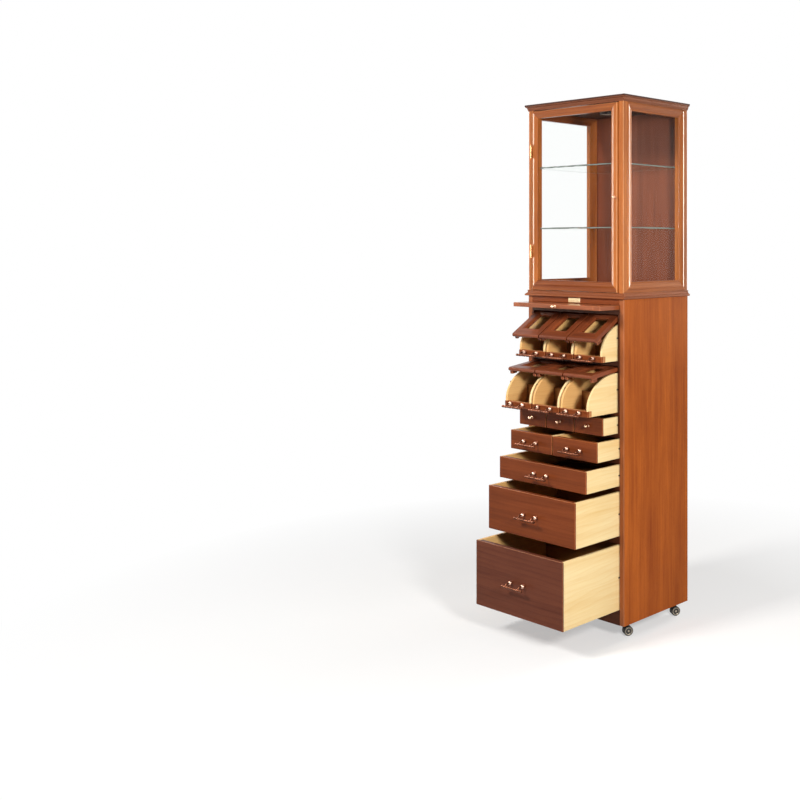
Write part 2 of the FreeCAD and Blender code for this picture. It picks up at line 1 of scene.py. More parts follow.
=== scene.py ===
"""Haberdashery cabinet: the cabinet's finished surfaces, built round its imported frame.

Shapes are drawn in millimetres and turned into the frame's metres when their mesh is made. Places
are in the frame's own axes: +Z up, -Y the way the drawers open, +X to the right from the front.
"""

from __future__ import annotations

import json
import logging
import math
from dataclasses import dataclass, field, replace
from enum import Enum
from itertools import product
from typing import Dict, Iterable, List, Optional, Sequence, Tuple, Union

import bpy
from mathutils import Matrix, Vector


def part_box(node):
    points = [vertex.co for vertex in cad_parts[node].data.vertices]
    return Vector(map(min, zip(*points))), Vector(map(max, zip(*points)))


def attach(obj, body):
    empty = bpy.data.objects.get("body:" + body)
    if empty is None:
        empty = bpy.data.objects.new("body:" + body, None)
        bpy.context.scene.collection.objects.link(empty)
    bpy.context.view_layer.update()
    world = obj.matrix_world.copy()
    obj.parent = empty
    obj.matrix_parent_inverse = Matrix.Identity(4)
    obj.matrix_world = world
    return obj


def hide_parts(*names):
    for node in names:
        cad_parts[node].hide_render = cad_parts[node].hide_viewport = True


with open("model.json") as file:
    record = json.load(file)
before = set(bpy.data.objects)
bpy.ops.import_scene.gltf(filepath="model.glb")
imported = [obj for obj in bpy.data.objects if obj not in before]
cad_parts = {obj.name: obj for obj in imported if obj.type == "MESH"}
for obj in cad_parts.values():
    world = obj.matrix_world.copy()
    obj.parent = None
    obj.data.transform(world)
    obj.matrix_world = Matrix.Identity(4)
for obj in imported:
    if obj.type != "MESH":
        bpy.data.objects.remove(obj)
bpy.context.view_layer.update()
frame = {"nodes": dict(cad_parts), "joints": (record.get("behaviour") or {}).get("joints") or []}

log = logging.getLogger("cabinet")

Triple = Tuple[float, float, float]
Outline = List[Tuple[float, float]]
Box = Tuple[Vector, Vector]
Socket = bpy.types.NodeSocket
Feed = Union[float, Sequence[float], Socket]
Feeds = Dict[Union[str, int], Feed]

MM = 0.001
EASE = 1.0  # how far sharp wooden edges are eased
PITCH = 0.6180339887  # steps round the unit interval without repeating
BOARD_TONES = 0.3  # how far the tones of boards spread
GRAIN_REACH = 7.0  # how far apart boards are cut from the grain, in metres
THINNEST = 0.01  # the radius that stands for zero on a lathe


class Axis(Enum):
    """A direction along the frame."""

    X = 0
    Y = 1
    Z = 2


def ink(*screen: int) -> Triple:
    """Turn a colour in screen values from 0 to 255 into the linear values that shaders use."""
    shares = [value / 255 for value in screen]
    return tuple(s / 12.92 if s <= 0.04045 else ((s + 0.055) / 1.055) ** 2.4 for s in shares)


# --------------------------------------------------------------------------------------
# Shapes
# --------------------------------------------------------------------------------------


@dataclass
class Ring:
    """One line round a mitred frame: a rectangle in XZ that stands at a depth along Y."""

    left: float
    right: float
    bottom: float
    top: float
    depth: float = 0.0

    def corner(self, number: int) -> Triple:
        """A corner, counted from the bottom left by way of the bottom right."""
        x = self.right if number % 4 in (1, 2) else self.left
        return x, self.depth, self.top if number % 4 > 1 else self.bottom

    def grown(self, out: float, depth: float) -> Ring:
        """The rectangle that stands out round this one, at a depth of its own."""
        return Ring(self.left - out, self.right + out, self.bottom - out, self.top + out, depth)


class Shape:
    """Points and faces of one piece. Each point also keeps its place in its own board's grain, with
    the first number along the fibres, so that every board has a figure of its own. The methods that
    add to it return the shape itself."""

    boards_cut = 0

    def __init__(self) -> None:
        """Start with nothing."""
        self.points: List[Vector] = []
        self.grain: List[Vector] = []
        self.tone: List[float] = []
        self.faces: List[Tuple[int, ...]] = []
        self.rubbed: List[float] = []

    def _add(self, points: Iterable[Sequence[float]], along: Axis, tone: float = 0.0) -> int:
        """Add points that belong to one board.

        Args:
            points: The points.
            along: The way the board's fibres run.
            tone: How much darker than its neighbours the board is, below zero for lighter.

        Returns:
            The index of the first one.
        """
        first = len(self.points)
        Shape.boards_cut += 1
        step = Shape.boards_cut * PITCH
        tone += (step % 1.0 - 0.5) * BOARD_TONES
        offset = Vector([step * k % 1.0 * GRAIN_REACH for k in (1, 2, 3)])
        order = sorted(range(3), key=lambda k: k != along.value)
        for point in points:
            self.points.append(Vector(point))
            self.grain.append(Vector([point[k] for k in order]) * MM + offset)
            self.tone.append(tone)
        return first

    def _face(self, corners: Sequence[int], rubbed: float = 0.0) -> None:
        """Add one face, worn from 0 to 1 as an edge is by handling, with a painted highlight."""
        self.faces.append(tuple(corners))
        self.rubbed.append(rubbed)

    def _outward(self, first_face: int) -> Shape:
        """Turn a closed surface so that it looks outward.

        Args:
            first_face: Its first face. It goes on to the last one.

        Returns:
            The shape.
        """
        volume = 0.0
        for corners in self.faces[first_face:]:
            root = self.points[corners[0]]
            for a, b in zip(corners[1:], corners[2:]):
                volume += root.dot(self.points[a].cross(self.points[b]))
        if volume < 0:
            self.faces[first_face:] = [corners[::-1] for corners in self.faces[first_face:]]
        return self

    def board(self, low: Sequence[float], high: Sequence[float], along: Axis, ease: float = EASE) -> Shape:
        """Add a board whose edges are eased.

        Args:
            low: Its lowest corner.
            high: Its highest corner.
            along: The way its fibres run.
            ease: How far each edge is eased.

        Returns:
            The shape.
        """
        ease = min(ease, *[(h - l) * 0.45 for l, h in zip(low, high)])
        signs = list(product((0, 1), repeat=3))
        points = []
        for sign, flat in product(signs, range(3)):
            eased = [0.0 if k == flat else ease for k in range(3)]
            points.append([high[k] - eased[k] if sign[k] else low[k] + eased[k] for k in range(3)])
        first = self._add(points, along)
        start = len(self.faces)

        def corner(axis: int, *turned: int) -> int:
            """A corner's first point, from its signs along an axis and the two that follow it."""
            return first + signs.index(tuple(turned[(k - axis) % 3] for k in range(3))) * 3

        # The eased edge and corner faces are marked fully worn: wear, and a painted highlight that lightens
        # them.
        for axis, side in product(range(3), (0, 1)):
            around = [corner(axis, side, *pair) + axis for pair in ((0, 0), (1, 0), (1, 1), (0, 1))]
            self._face(around if side else around[::-1])
            after = (axis + 1) % 3
            for other in (0, 1):
                a, b = (corner(axis, side, other, end) for end in (0, 1))
                strip = [a + axis, b + axis, b + after, a + after]
                self._face(strip if side == other else strip[::-1], 1.0)
        for n, sign in enumerate(signs):
            tip = [first + n * 3 + k for k in range(3)]
            self._face(tip if sum(sign) % 2 else tip[::-1], 1.0)
        return self._outward(start)

    def slab(self, outline: Outline, low: float, high: float, ease: float = EASE) -> Shape:
        """Add a flat piece that is thick along X, with its fibres along Y.

        Args:
            outline: Its corners in Y and Z.
            low: Where it starts along X.
            high: Where it ends along X.
            ease: How far its two rims are eased.

        Returns:
            The shape.
        """
        inner = inset(outline, ease)
        layers = ((inner, low), (outline, low + ease), (outline, high - ease), (inner, high))
        first = self._add([(at, y, z) for flat, at in layers for y, z in flat], Axis.Y)
        # Both eased rims are marked fully worn: wear, and a painted highlight that lightens them.
        return self._tube(first, len(outline), len(layers), {0: 1.0, 2: 1.0})

    def _tube(self, first: int, count: int, layers: int, rubbed: Dict[int, float],
              ring: bool = False) -> Shape:
        """Join layers of points that were added one after another into a closed surface.

        Args:
            first: The index of the first point.
            count: How many points a layer has.
            layers: How many layers there are.
            rubbed: How worn each band between two layers is, with a painted highlight, 0 where it isn't
                named.
            ring: Whether the last layer joins the first one. Otherwise both ends are closed.

        Returns:
            The shape.
        """
        start = len(self.faces)
        for band, k in product(range(layers if ring else layers - 1), range(count)):
            here, there = first + band * count, first + (band + 1) % layers * count
            m = (k + 1) % count
            self._face((here + k, here + m, there + m, there + k), rubbed.get(band, 0.0))
        if not ring:
            self._face(range(first + count - 1, first - 1, -1))
            self._face(range(first + (layers - 1) * count, first + layers * count))
        return self._outward(start)

    def turned(self, outline: Outline, origin: Sequence[float], axis: Sequence[float], segments: int = 32,
               rubbed: float = 0.0, ring: bool = False) -> Shape:
        """Add a piece turned on a lathe.

        Args:
            outline: Pairs of distance along the axis and radius. A zero radius closes an end.
            origin: Where the axis starts.
            axis: The way the axis runs.
            segments: How many flats go round it.
            rubbed: How worn it is, with a painted highlight, from 0 to 1.
            ring: Whether the outline runs all the way round the section of a ring.

        Returns:
            The shape.
        """
        spin = Vector(axis).to_track_quat("Z", "Y").to_matrix()
        turns = [2 * math.pi * k / segments for k in range(segments)]
        points = []
        for (at, radius), turn in product(outline, turns):
            radius = max(radius, THINNEST)
            around = Vector((radius * math.cos(turn), radius * math.sin(turn), at))
            points.append(Vector(origin) + spin @ around)
        first = self._add(points, Axis.Z)
        return self._tube(first, segments, len(outline), dict.fromkeys(range(len(outline)), rubbed), ring)

    def swept(self, path: Sequence[Vector], radius: float, segments: int = 16) -> Shape:
        """Add a round bar along a path that stays in one plane of constant X.

        Args:
            path: The middle line's points.
            radius: The bar's radius.
            segments: How many flats go round it.

        Returns:
            The shape.
        """
        points = []
        side = Vector((1, 0, 0))
        for n, middle in enumerate(path):
            up = side.cross((path[min(n + 1, len(path) - 1)] - path[max(n - 1, 0)]).normalized())
            for turn in [2 * math.pi * k / segments for k in range(segments)]:
                points.append(middle + (side * math.cos(turn) + up * math.sin(turn)) * radius)
        return self._tube(self._add(points, Axis.Y), segments, len(path), {})

    def _member(self, first: int, count: int, rubbed: Dict[int, float]) -> None:
        """Close the long sides of a moulding's run.

        Args:
            first: The index of the first point. Each line has one at both ends.
            count: How many lines there are round its section.
            rubbed: How worn the face after each line is, with a painted highlight, 0 where it isn't named.
        """
        for n in range(count):
            a, b = first + 2 * n, first + 2 * ((n + 1) % count)
            self._face((a, a + 1, b + 1, b), rubbed.get(n, 0.0))

    def mitred(self, rings: Sequence[Ring], rail_tone: float = 0.0, rubbed: Sequence[int] = ()) -> Shape:
        """Add a frame of four members that meet in mitres.

        Args:
            rings: The lines round it, in order all the way round the members' section.
            rail_tone: How much darker than the stiles the rails are.
            rubbed: The lines after which faces are worn with a painted highlight, less on rails than on
                stiles.

        Returns:
            The shape.
        """
        start = len(self.faces)
        for side in range(4):
            # The named lines are worn and lightened by a painted highlight, less on the rails than on the
            # stiles.
            along, tone, wear_and_highlight_share = (Axis.Z, 0.0, 1.0) if side % 2 else (Axis.X, rail_tone, 0.4)
            points = [ring.corner(side + end) for ring in rings for end in (0, 1)]
            self._member(self._add(points, along, tone), len(rings), dict.fromkeys(rubbed, wear_and_highlight_share))
        return self._outward(start)

    def skirted(self, section: Outline, half: float, front: float, back: float) -> Shape:
        """Add a moulding that runs round the left, the front and the right of a cabinet.

        Args:
            section: Pairs of how far the moulding stands out and how high it is, all the way round.
            half: Half the width of what it runs round.
            front: The front's place along Y.
            back: Where it ends at the back.

        Returns:
            The shape.
        """
        start = len(self.faces)
        for run, along in enumerate((Axis.Y, Axis.X, Axis.Y)):
            points = []
            for out, high in section:
                x, y = half + out, front - out
                way = [(-x, back), (-x, y), (x, y), (x, back)]
                points += [place + (high,) for place in way[run:run + 2]]
            first = self._add(points, along)
            self._member(first, len(section), {})
            ends = range(first, len(self.points), 2)
            if run == 0:
                self._face(ends)
            if run == 2:
                self._face([n + 1 for n in reversed(ends)])
        return self._outward(start)

    def moved(self, place: Matrix) -> Shape:
        """Carry every point by a matrix, and leave the grain as it was."""
        self.points = [place @ point for point in self.points]
        return self

    def mesh(self, name: str, sharp: float) -> bpy.types.Mesh:
        """Make the mesh.

        Args:
            name: Its name.
            sharp: Faces that meet at more than this many degrees keep a crisp line.

        Returns:
            The mesh, with the point attributes grain and tone, and the face attribute rubbed for wear and
            painted highlight.
        """
        made = bpy.data.meshes.new(name)
        made.from_pydata([tuple(p * MM) for p in self.points], [], self.faces)
        grain = [v for g in self.grain for v in g]
        for title, kind, on, key, values in (("grain", "FLOAT_VECTOR", "POINT", "vector", grain),
                                             ("tone", "FLOAT", "POINT", "value", self.tone),
                                             ("rubbed", "FLOAT", "FACE", "value", self.rubbed)):
            made.attributes.new(title, kind, on).data.foreach_set(key, values)
        made.shade_smooth()
        made.set_sharp_from_angle(angle=math.radians(sharp))
        return made


def inset(outline: Outline, by: float) -> Outline:
    """Draw an outline in by an even distance.

    Args:
        outline: Its corners, in either direction round.
        by: How far it goes in.

    Returns:
        The smaller outline, with as many corners.
    """
    count = len(outline)
    area = sum(outline[n - 1][0] * outline[n][1] - outline[n][0] * outline[n - 1][1] for n in range(count))
    sense = 1.0 if area > 0 else -1.0
    made = []
    for n in range(count):
        here = Vector(outline[n])
        before = (here - Vector(outline[n - 1])).normalized()
        after = (Vector(outline[(n + 1) % count]) - here).normalized()
        normals = [Vector((-way.y, way.x)) * sense for way in (before, after)]
        middle = (normals[0] + normals[1]).normalized()
        made.append(tuple(here + middle * (by / max(middle.dot(normals[0]), 0.5))))
    return made


def arc(centre: Tuple[float, float], radii: Tuple[float, float], start: float, end: float,
        steps: int) -> Outline:
    """Points along part of an ellipse.

    Args:
        centre: Its centre.
        radii: Its two half axes.
        start: The first angle, in degrees.
        end: The last angle, in degrees.
        steps: How many points there are.

    Returns:
        The points, both ends among them.
    """
    turns = [math.radians(start + (end - start) * n / (steps - 1)) for n in range(steps)]
    return [(centre[0] + radii[0] * math.cos(t), centre[1] + radii[1] * math.sin(t)) for t in turns]


def box(node: str) -> Box:
    """A CAD node's lowest and highest corners, in millimetres."""
    low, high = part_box(node)
    return low / MM, high / MM


def solids_of(node: str) -> List[Box]:
    """Find the boxes of a CAD node's separate solids, from the lowest to the highest.

    Args:
        node: The node's name.

    Returns:
        The lowest and the highest corner of each solid, in millimetres.
    """
    mesh = frame["nodes"][node].data
    keys = [tuple(round(c, 5) for c in v.co) for v in mesh.vertices]
    parent: Dict[Triple, Triple] = {key: key for key in keys}

    def root(key: Triple) -> Triple:
        """The point that stands for a point's whole solid."""
        while parent[key] != key:
            parent[key] = parent[parent[key]]
            key = parent[key]
        return key

    for face in mesh.polygons:
        first = root(keys[face.vertices[0]])
        for n in face.vertices[1:]:
            parent[root(keys[n])] = first
    groups: Dict[Triple, List[Triple]] = {}
    for key in parent:
        groups.setdefault(root(key), []).append(key)
    boxes = [tuple(Vector([pick(p[k] for p in group) for k in range(3)]) / MM for pick in (min, max))
             for group in groups.values()]
    return sorted(boxes, key=lambda pair: (round(pair[0].z, 1), round(pair[0].x, 1), pair[0].y))


# --------------------------------------------------------------------------------------
# Surfaces
# --------------------------------------------------------------------------------------


class Bench:
    """A node tree that is being wired, of a material, the world or a group."""

    def __init__(self, tree: bpy.types.NodeTree) -> None:
        """Take the tree."""
        self.tree = tree

    def node(self, kind: str, feeds: Feeds, **settings: object) -> bpy.types.Node:
        """Add a shader node.

        Args:
            kind: Its type, without the word that every shader node's type starts with.
            feeds: What goes into its inputs, by name or by number: a socket or a value.
            **settings: Its properties.

        Returns:
            The node.
        """
        made = self.tree.nodes.new("ShaderNode" + kind)
        for key, value in settings.items():
            setattr(made, key, value)
        for name, value in feeds.items():
            self.feed(made.inputs[name], value)
        return made

    def feed(self, socket: Socket, value: Feed) -> None:
        """Link a socket to another, or set its value, with a full alpha where a colour lacks one.

        Args:
            socket: The socket.
            value: Another socket, a number, a vector or a colour.
        """
        if isinstance(value, Socket):
            self.tree.links.new(value, socket)
        elif isinstance(value, (int, float)):
            socket.default_value = value
        else:
            socket.default_value = [*value, 1.0][:len(socket.default_value)]

    def math(self, operation: str, *values: Feed, clamp: bool = False) -> Socket:
        """Work out a number with a Math node, kept between 0 and 1 where it is clamped."""
        return self.node("Math", dict(enumerate(values)), operation=operation, use_clamp=clamp).outputs[0]

    def mix(self, share: Feed, first: Feed, second: Feed) -> Socket:
        """Mix two colours, with a share of the second."""
        return self.node("Mix", {0: share, 6: first, 7: second}, data_type="RGBA").outputs[2]

    def span(self, value: Feed, low: float, high: float, to_low: float = 0.0, to_high: float = 1.0) -> Socket:
        """Map a range of numbers onto another."""
        given = dict(enumerate((value, low, high, to_low, to_high)))
        return self.node("MapRange", given, clamp=True).outputs[0]

    def stretched(self, vector: Feed, by: Triple) -> Socket:
        """A vector with each part multiplied by its own number."""
        return self.node("VectorMath", {0: vector, 1: by}, operation="MULTIPLY").outputs[0]

    def noise(self, vector: Feed, scale: Feed = 1.0, detail: float = 3.0, rough: float = 0.55,
              distortion: float = 0.0) -> Socket:
        """Noise from 0 to 1.

        Args:
            vector: Where it is read.
            scale: How fine it is.
            detail: How many finer layers it has.
            rough: How strong those are.
            distortion: How far it is twisted.

        Returns:
            The noise's socket.
        """
        return self.node("TexNoise", {"Vector": vector, "Scale": scale, "Detail": detail, "Roughness": rough,
                                      "Distortion": distortion}).outputs[0]

    def read(self, attribute: str, output: str = "Fac") -> Socket:
        """Read one of the attributes that a shape's mesh carries."""
        return self.node("Attribute", {}, attribute_name=attribute).outputs[output]

    def wear_and_highlight_mask(self, place: Socket, amount: float) -> Socket:
        """How far a surface is worn, with a painted highlight, from 0 to 1."""
        return self.effect("wear_and_highlight_edges", place, Edge=self.read("rubbed"), Amount=amount)["Mask"]

    def bump(self, strength: float, depth: float, height: Socket) -> Socket:
        """The normal of a surface with a relief that is a depth in millimetres."""
        return self.node("Bump", {"Strength": strength, "Distance": depth * MM, "Height": height}).outputs[0]

    def seen(self) -> Socket:
        """Whether the eye sees a thing: straight on, through glass or in gloss.

        Returns:
            1 where it does.
        """
        path = self.node("LightPath", {}).outputs
        seen = self.math("MAXIMUM", path["Is Camera Ray"], path["Is Transmission Ray"])
        return self.math("MAXIMUM", seen, path["Is Glossy Ray"])

    def effect(self, name: str, place: Socket, **feeds: Feed) -> bpy.types.bpy_prop_collection:
        """Place the node group of a shared effect.

        Args:
            name: The effect's name.
            place: Where it is read.
            **feeds: Its other inputs, named with _ for each space.

        Returns:
            Its outputs, by name.
        """
        named = {key.replace("_", " "): value for key, value in feeds.items()}
        return self.node("Group", {"Place": place, **named}, node_tree=Effects.tree(name)).outputs


Given = bpy.types.bpy_prop_collection


class Effects:
    """The effects that more than one surface shares, each a node group that is made once. Each
    method wires the group of its own name."""

    made: Dict[str, bpy.types.NodeTree] = {}
    sockets = {
        "wood_grain": (("Figure Size", "Ring Size", "Waviness"),
                       ("Figure", "Rings", "Fibres", "Pores", "Height")),
        "glued_staves": (("Width",), ("Tone", "Joint")),
        "wear_and_highlight_edges": (("Edge", "Amount"), ("Mask",)),
        "handling": (("Size", "Amount"), ("Shade", "Roughness")),
    }

    @classmethod
    def tree(cls, name: str) -> bpy.types.NodeTree:
        """Make an effect's group, or return it if it was made before.

        Args:
            name: The effect's name.

        Returns:
            The group.
        """
        if name not in cls.made:
            tree = bpy.data.node_groups.new(name, "ShaderNodeTree")
            inputs, outputs = cls.sockets[name]
            tree.interface.new_socket(name="Place", in_out="INPUT", socket_type="NodeSocketVector")
            for way, titles in (("INPUT", inputs), ("OUTPUT", outputs)):
                for title in titles:
                    tree.interface.new_socket(name=title, in_out=way, socket_type="NodeSocketFloat")
            bench = Bench(tree)
            given, out = (tree.nodes.new("NodeGroup" + way) for way in ("Input", "Output"))
            for title, value in zip(outputs, getattr(cls, name)(bench, given.outputs)):
                bench.feed(out.inputs[title], value)
            cls.made[name] = tree
        return cls.made[name]

    @staticmethod
    def wood_grain(bench: Bench, given: Given) -> Sequence[Socket]:
        """Wood grain read from a board's own place: broad figure, growth rings, fibres and pores.

        Args:
            bench: The group's bench.
            given: What the group is given.

        Returns:
            What goes to the group's outputs, in order.
        """
        place = given["Place"]
        drift = bench.noise(bench.stretched(place, (1.6, 9.0, 9.0)), 1.0, 2.0)
        figure = bench.noise(bench.stretched(place, (2.0, 34.0, 34.0)), given["Figure Size"], 4.0, 0.62, 0.35)
        push = {axis: bench.math("MULTIPLY", drift, given["Waviness"]) for axis in "YZ"}
        sway = bench.node("CombineXYZ", push).outputs[0]
        bent = bench.node("VectorMath", {0: place, 1: (0.12, 0.8, 1.0), 2: sway}, operation="MULTIPLY_ADD")
        rings = bench.node("TexWave", {"Vector": bent.outputs[0], "Scale": given["Ring Size"],
                                       "Distortion": 0.6, "Detail": 2.0, "Detail Scale": 1.4},
                           wave_type="BANDS", bands_direction="Z", wave_profile="SAW")
        fibres = bench.noise(bench.stretched(place, (7.0, 460.0, 460.0)), 1.0, 3.0, 0.6)
        pores = bench.span(bench.noise(bench.stretched(place, (55.0, 1500.0, 1500.0)), 1.0, 1.0), 0.63, 0.72)
        height = bench.math("SUBTRACT", fibres, bench.math("MULTIPLY", pores, 0.7))
        return figure, rings.outputs["Fac"], fibres, pores, height

    @staticmethod
    def glued_staves(bench: Bench, given: Given) -> Sequence[Socket]:
        """The different tones of the staves that a wide panel is glued up from.

        Args:
            bench: The group's bench.
            given: What the group is given.

        Returns:
            What goes to the group's outputs, in order.
        """
        parts = bench.node("SeparateXYZ", {0: given["Place"]}).outputs
        across = bench.math("DIVIDE", bench.math("ADD", parts["Y"], parts["Z"]), given["Width"])
        tone = bench.node("TexWhiteNoise", {"W": bench.math("FLOOR", across)}, noise_dimensions="1D")
        near = bench.math("ABSOLUTE", bench.math("SUBTRACT", bench.math("FRACT", across), 0.5))
        return tone.outputs["Value"], bench.span(near, 0.488, 0.5)

    @staticmethod
    def wear_and_highlight_edges(bench: Bench, given: Given) -> Sequence[Socket]:
        """How far handling wore a surface, with a painted highlight: most on its eased edges, in uneven
        patches.

        Args:
            bench: The group's bench.
            given: What the group is given.

        Returns:
            What goes to the group's outputs, in order.
        """
        long = bench.stretched(given["Place"], (0.2, 1.0, 1.0))
        patches = bench.span(bench.noise(long, 60.0, 3.0), 0.3, 0.7, 0.45, 1.0)
        mask = bench.math("MULTIPLY", given["Edge"], patches)
        return (bench.math("MULTIPLY", mask, given["Amount"], clamp=True),)

    @staticmethod
    def handling(bench: Bench, given: Given) -> Sequence[Socket]:
        """Soft cloudy unevenness of a polished surface: a shade factor and a roughness to add.

        Args:
            bench: The group's bench.
            given: What the group is given.

        Returns:
            What goes to the group's outputs, in order.
        """
        clouds = bench.noise(given["Place"], given["Size"], 4.0, 0.6)
        fine = bench.noise(given["Place"], bench.math("MULTIPLY", given["Size"], 9.0), 2.0)
        return [bench.math("MULTIPLY", layer, given["Amount"]) for layer in (clouds, fine)]


class Reading(Enum):
    """Where a surface reads its place from."""

    BOARD = "grain"
    OBJECT_X = (0.0, 0.0, 0.0)
    OBJECT_Z = (0.0, math.pi / 2, 0.0)


class Finish:
    """A surface that gives one material for each way of reading its place."""

    name: str
    cache: Dict[str, bpy.types.Material] = {}

    def material(self, reading: Reading = Reading.BOARD) -> bpy.types.Material:
        """Make the material, or return it if it was made before.

        Args:
            reading: Where it reads its place from.

        Returns:
            The material.
        """
        title = self.name if reading is Reading.BOARD else f"{self.name}_{reading.name.lower()}"
        if title not in Finish.cache:
            made = bpy.data.materials.new(title)
            made.use_nodes = True
            made.node_tree.nodes.clear()
            bench = Bench(made.node_tree)
            if reading is Reading.BOARD:
                place = bench.read("grain", "Vector")
            else:
                object_place = bench.node("TexCoord", {}).outputs["Object"]
                place = bench.node("Mapping", {"Vector": object_place, "Rotation": reading.value}).outputs[0]
            bench.node("OutputMaterial", {"Surface": self.wire(bench, place)})
            Finish.cache[title] = made
        return Finish.cache[title]

    def wire(self, bench: Bench, place: Socket) -> Socket:
        """Wire the surface.

        Args:
            bench: The material's bench.
            place: Where the surface is read.

        Returns:
            The socket that goes to the material's output.
        """
        raise NotImplementedError


@dataclass(frozen=True)
class Timber(Finish):
    """A varnished wood."""

    name: str
    light: Triple
    dark: Triple
    # colour of worn edges, which also serves as a painted highlight there
    worn_and_highlit: Triple
    figure: float = 1.0
    figure_size: float = 1.0
    rings: float = 0.2
    ring_size: float = 22.0
    waviness: float = 0.05
    pores: float = 0.35
    stave: float = 0.07
    stave_tones: float = 0.25
    joints: float = 0.35
    blotches: float = 0.5
    roughness: float = 0.4
    sheen: float = 0.12
    varnish: float = 0.12
    varnish_roughness: float = 0.14
    # how strongly worn edges are lightened: wear and painted highlight
    rubbed: float = 0.5
    relief: float = 0.12
    fibres: float = 0.3

    def wire(self, bench: Bench, place: Socket) -> Socket:
        """Mix the figure, rings, staves, pores and worn edges with their painted highlight into one wood.

        Args:
            bench: The material's bench.
            place: Where the surface is read.

        Returns:
            The wood's socket.
        """
        grain = bench.effect("wood_grain", place, Figure_Size=self.figure_size, Ring_Size=self.ring_size,
                             Waviness=self.waviness)
        staves = bench.effect("glued_staves", place, Width=self.stave)
        drawn = bench.stretched(place, (0.4, 1.0, 1.0))
        clouds = bench.effect("handling", drawn, Size=9.0, Amount=self.blotches)
        depth = bench.math("MULTIPLY", bench.span(grain["Figure"], 0.28, 0.72), self.figure)
        for part, weight in ((bench.math("POWER", grain["Rings"], 3.0), self.rings),
                             (staves["Tone"], self.stave_tones), (grain["Fibres"], self.fibres)):
            depth = bench.math("MULTIPLY_ADD", part, weight, depth)
        for part in (clouds["Shade"], bench.read("tone")):
            depth = bench.math("ADD", depth, part)
        total = self.figure + self.rings * 0.5 + self.stave_tones + self.fibres + self.blotches
        colour = bench.mix(bench.span(depth, total * 0.12, total * 0.88), self.light, self.dark)
        for part, weight, deep in ((grain["Pores"], self.pores, 0.35), (staves["Joint"], self.joints, 0.6)):
            colour = bench.mix(bench.math("MULTIPLY", part, weight), colour, [c * deep for c in self.dark])
        # Worn faces take the worn colour: wear, and also a painted highlight on eased edges and roundings.
        colour = bench.mix(bench.wear_and_highlight_mask(place, self.rubbed), colour, self.worn_and_highlit)
        return bench.node("BsdfPrincipled", {
            "Base Color": colour,
            "Roughness": bench.math("MULTIPLY_ADD", grain["Fibres"], 0.12, self.roughness - 0.06),
            "Specular IOR Level": self.sheen,
            "Coat Weight": self.varnish,
            "Coat Roughness": self.varnish_roughness,
            "Normal": bench.bump(self.relief, 0.4, grain["Height"]),
        }).outputs[0]


@dataclass(frozen=True)
class Metal(Finish):
    """A handled metal: bright in places, duller between, polished where worn, with a painted highlight."""

    name: str
    bright: Triple
    dull: Triple
    # colour of worn places: polish, and a painted highlight
    polished: Triple = ink(255, 220, 190)
    roughness: float = 0.25
    patches: float = 60.0
    shown: float = 0.5

    def wire(self, bench: Bench, place: Socket) -> Socket:
        """Mix bright and dull metal in fine patches.

        Args:
            bench: The material's bench.
            place: Where the surface is read.

        Returns:
            The metal's socket.
        """
        clouds = bench.effect("handling", place, Size=self.patches, Amount=1.0)
        share = bench.math("MULTIPLY", bench.span(clouds["Shade"], 0.35, 0.68), self.shown)
        spread = bench.math("MULTIPLY_ADD", clouds["Roughness"], 0.16, self.roughness - 0.08)
        colour = bench.mix(share, self.bright, self.dull)
        return bench.node("BsdfPrincipled", {
            # Worn places take the polished colour: polish, and a painted highlight.
            "Base Color": bench.mix(bench.wear_and_highlight_mask(place, 1.0), colour, self.polished),
            "Metallic": 1.0,
            "Roughness": bench.math("MULTIPLY_ADD", share, 0.12, spread),
            "Normal": bench.bump(0.08, 0.1, clouds["Shade"]),
        }).outputs[0]


@dataclass(frozen=True)
class Moulded(Finish):
    """A moulded plastic with a fine texture."""

    name: str
    colour: Triple
    dusty: Triple
    roughness: float = 0.45

    def wire(self, bench: Bench, place: Socket) -> Socket:
        """Mix in a little dust, and give the surface its fine texture.

        Args:
            bench: The material's bench.
            place: Where the surface is read.

        Returns:
            The plastic's socket.
        """
        clouds = bench.effect("handling", place, Size=45.0, Amount=1.0)
        dust = bench.span(clouds["Shade"], 0.4, 0.8, 0.0, 0.45)
        return bench.node("BsdfPrincipled", {
            "Base Color": bench.mix(dust, self.colour, self.dusty),
            "Roughness": bench.math("MULTIPLY_ADD", clouds["Roughness"], 0.2, self.roughness),
            "Normal": bench.bump(0.1, 0.1, bench.noise(place, 2200.0, 2.0)),
        }).outputs[0]


@dataclass(frozen=True)
class Glazing(Finish):
    """Clear glass, a little uneven, that lets light through to what is behind it."""

    name: str
    colour: Triple
    smears: float = 0.004
    bending: float = 1.1

    def wire(self, bench: Bench, place: Socket) -> Socket:
        """Wire the glass, with shadow rays and scattered light passing straight through it.

        Args:
            bench: The material's bench.
            place: Where the surface is read.

        Returns:
            The glass's socket.
        """
        smears = bench.effect("handling", place, Size=6.0, Amount=self.smears)
        shader = bench.node("BsdfPrincipled", {
            "Base Color": self.colour,
            "Metallic": 0.0,
            "IOR": self.bending,
            "Transmission Weight": 1.0,
            "Roughness": smears["Roughness"],
        })
        clear = bench.node("BsdfTransparent", {"Color": self.colour})
        path = bench.node("LightPath", {}).outputs
        straight = bench.math("MAXIMUM", path["Is Shadow Ray"], path["Is Diffuse Ray"])
        return bench.node("MixShader", {0: straight, 1: shader.outputs[0], 2: clear.outputs[0]}).outputs[0]


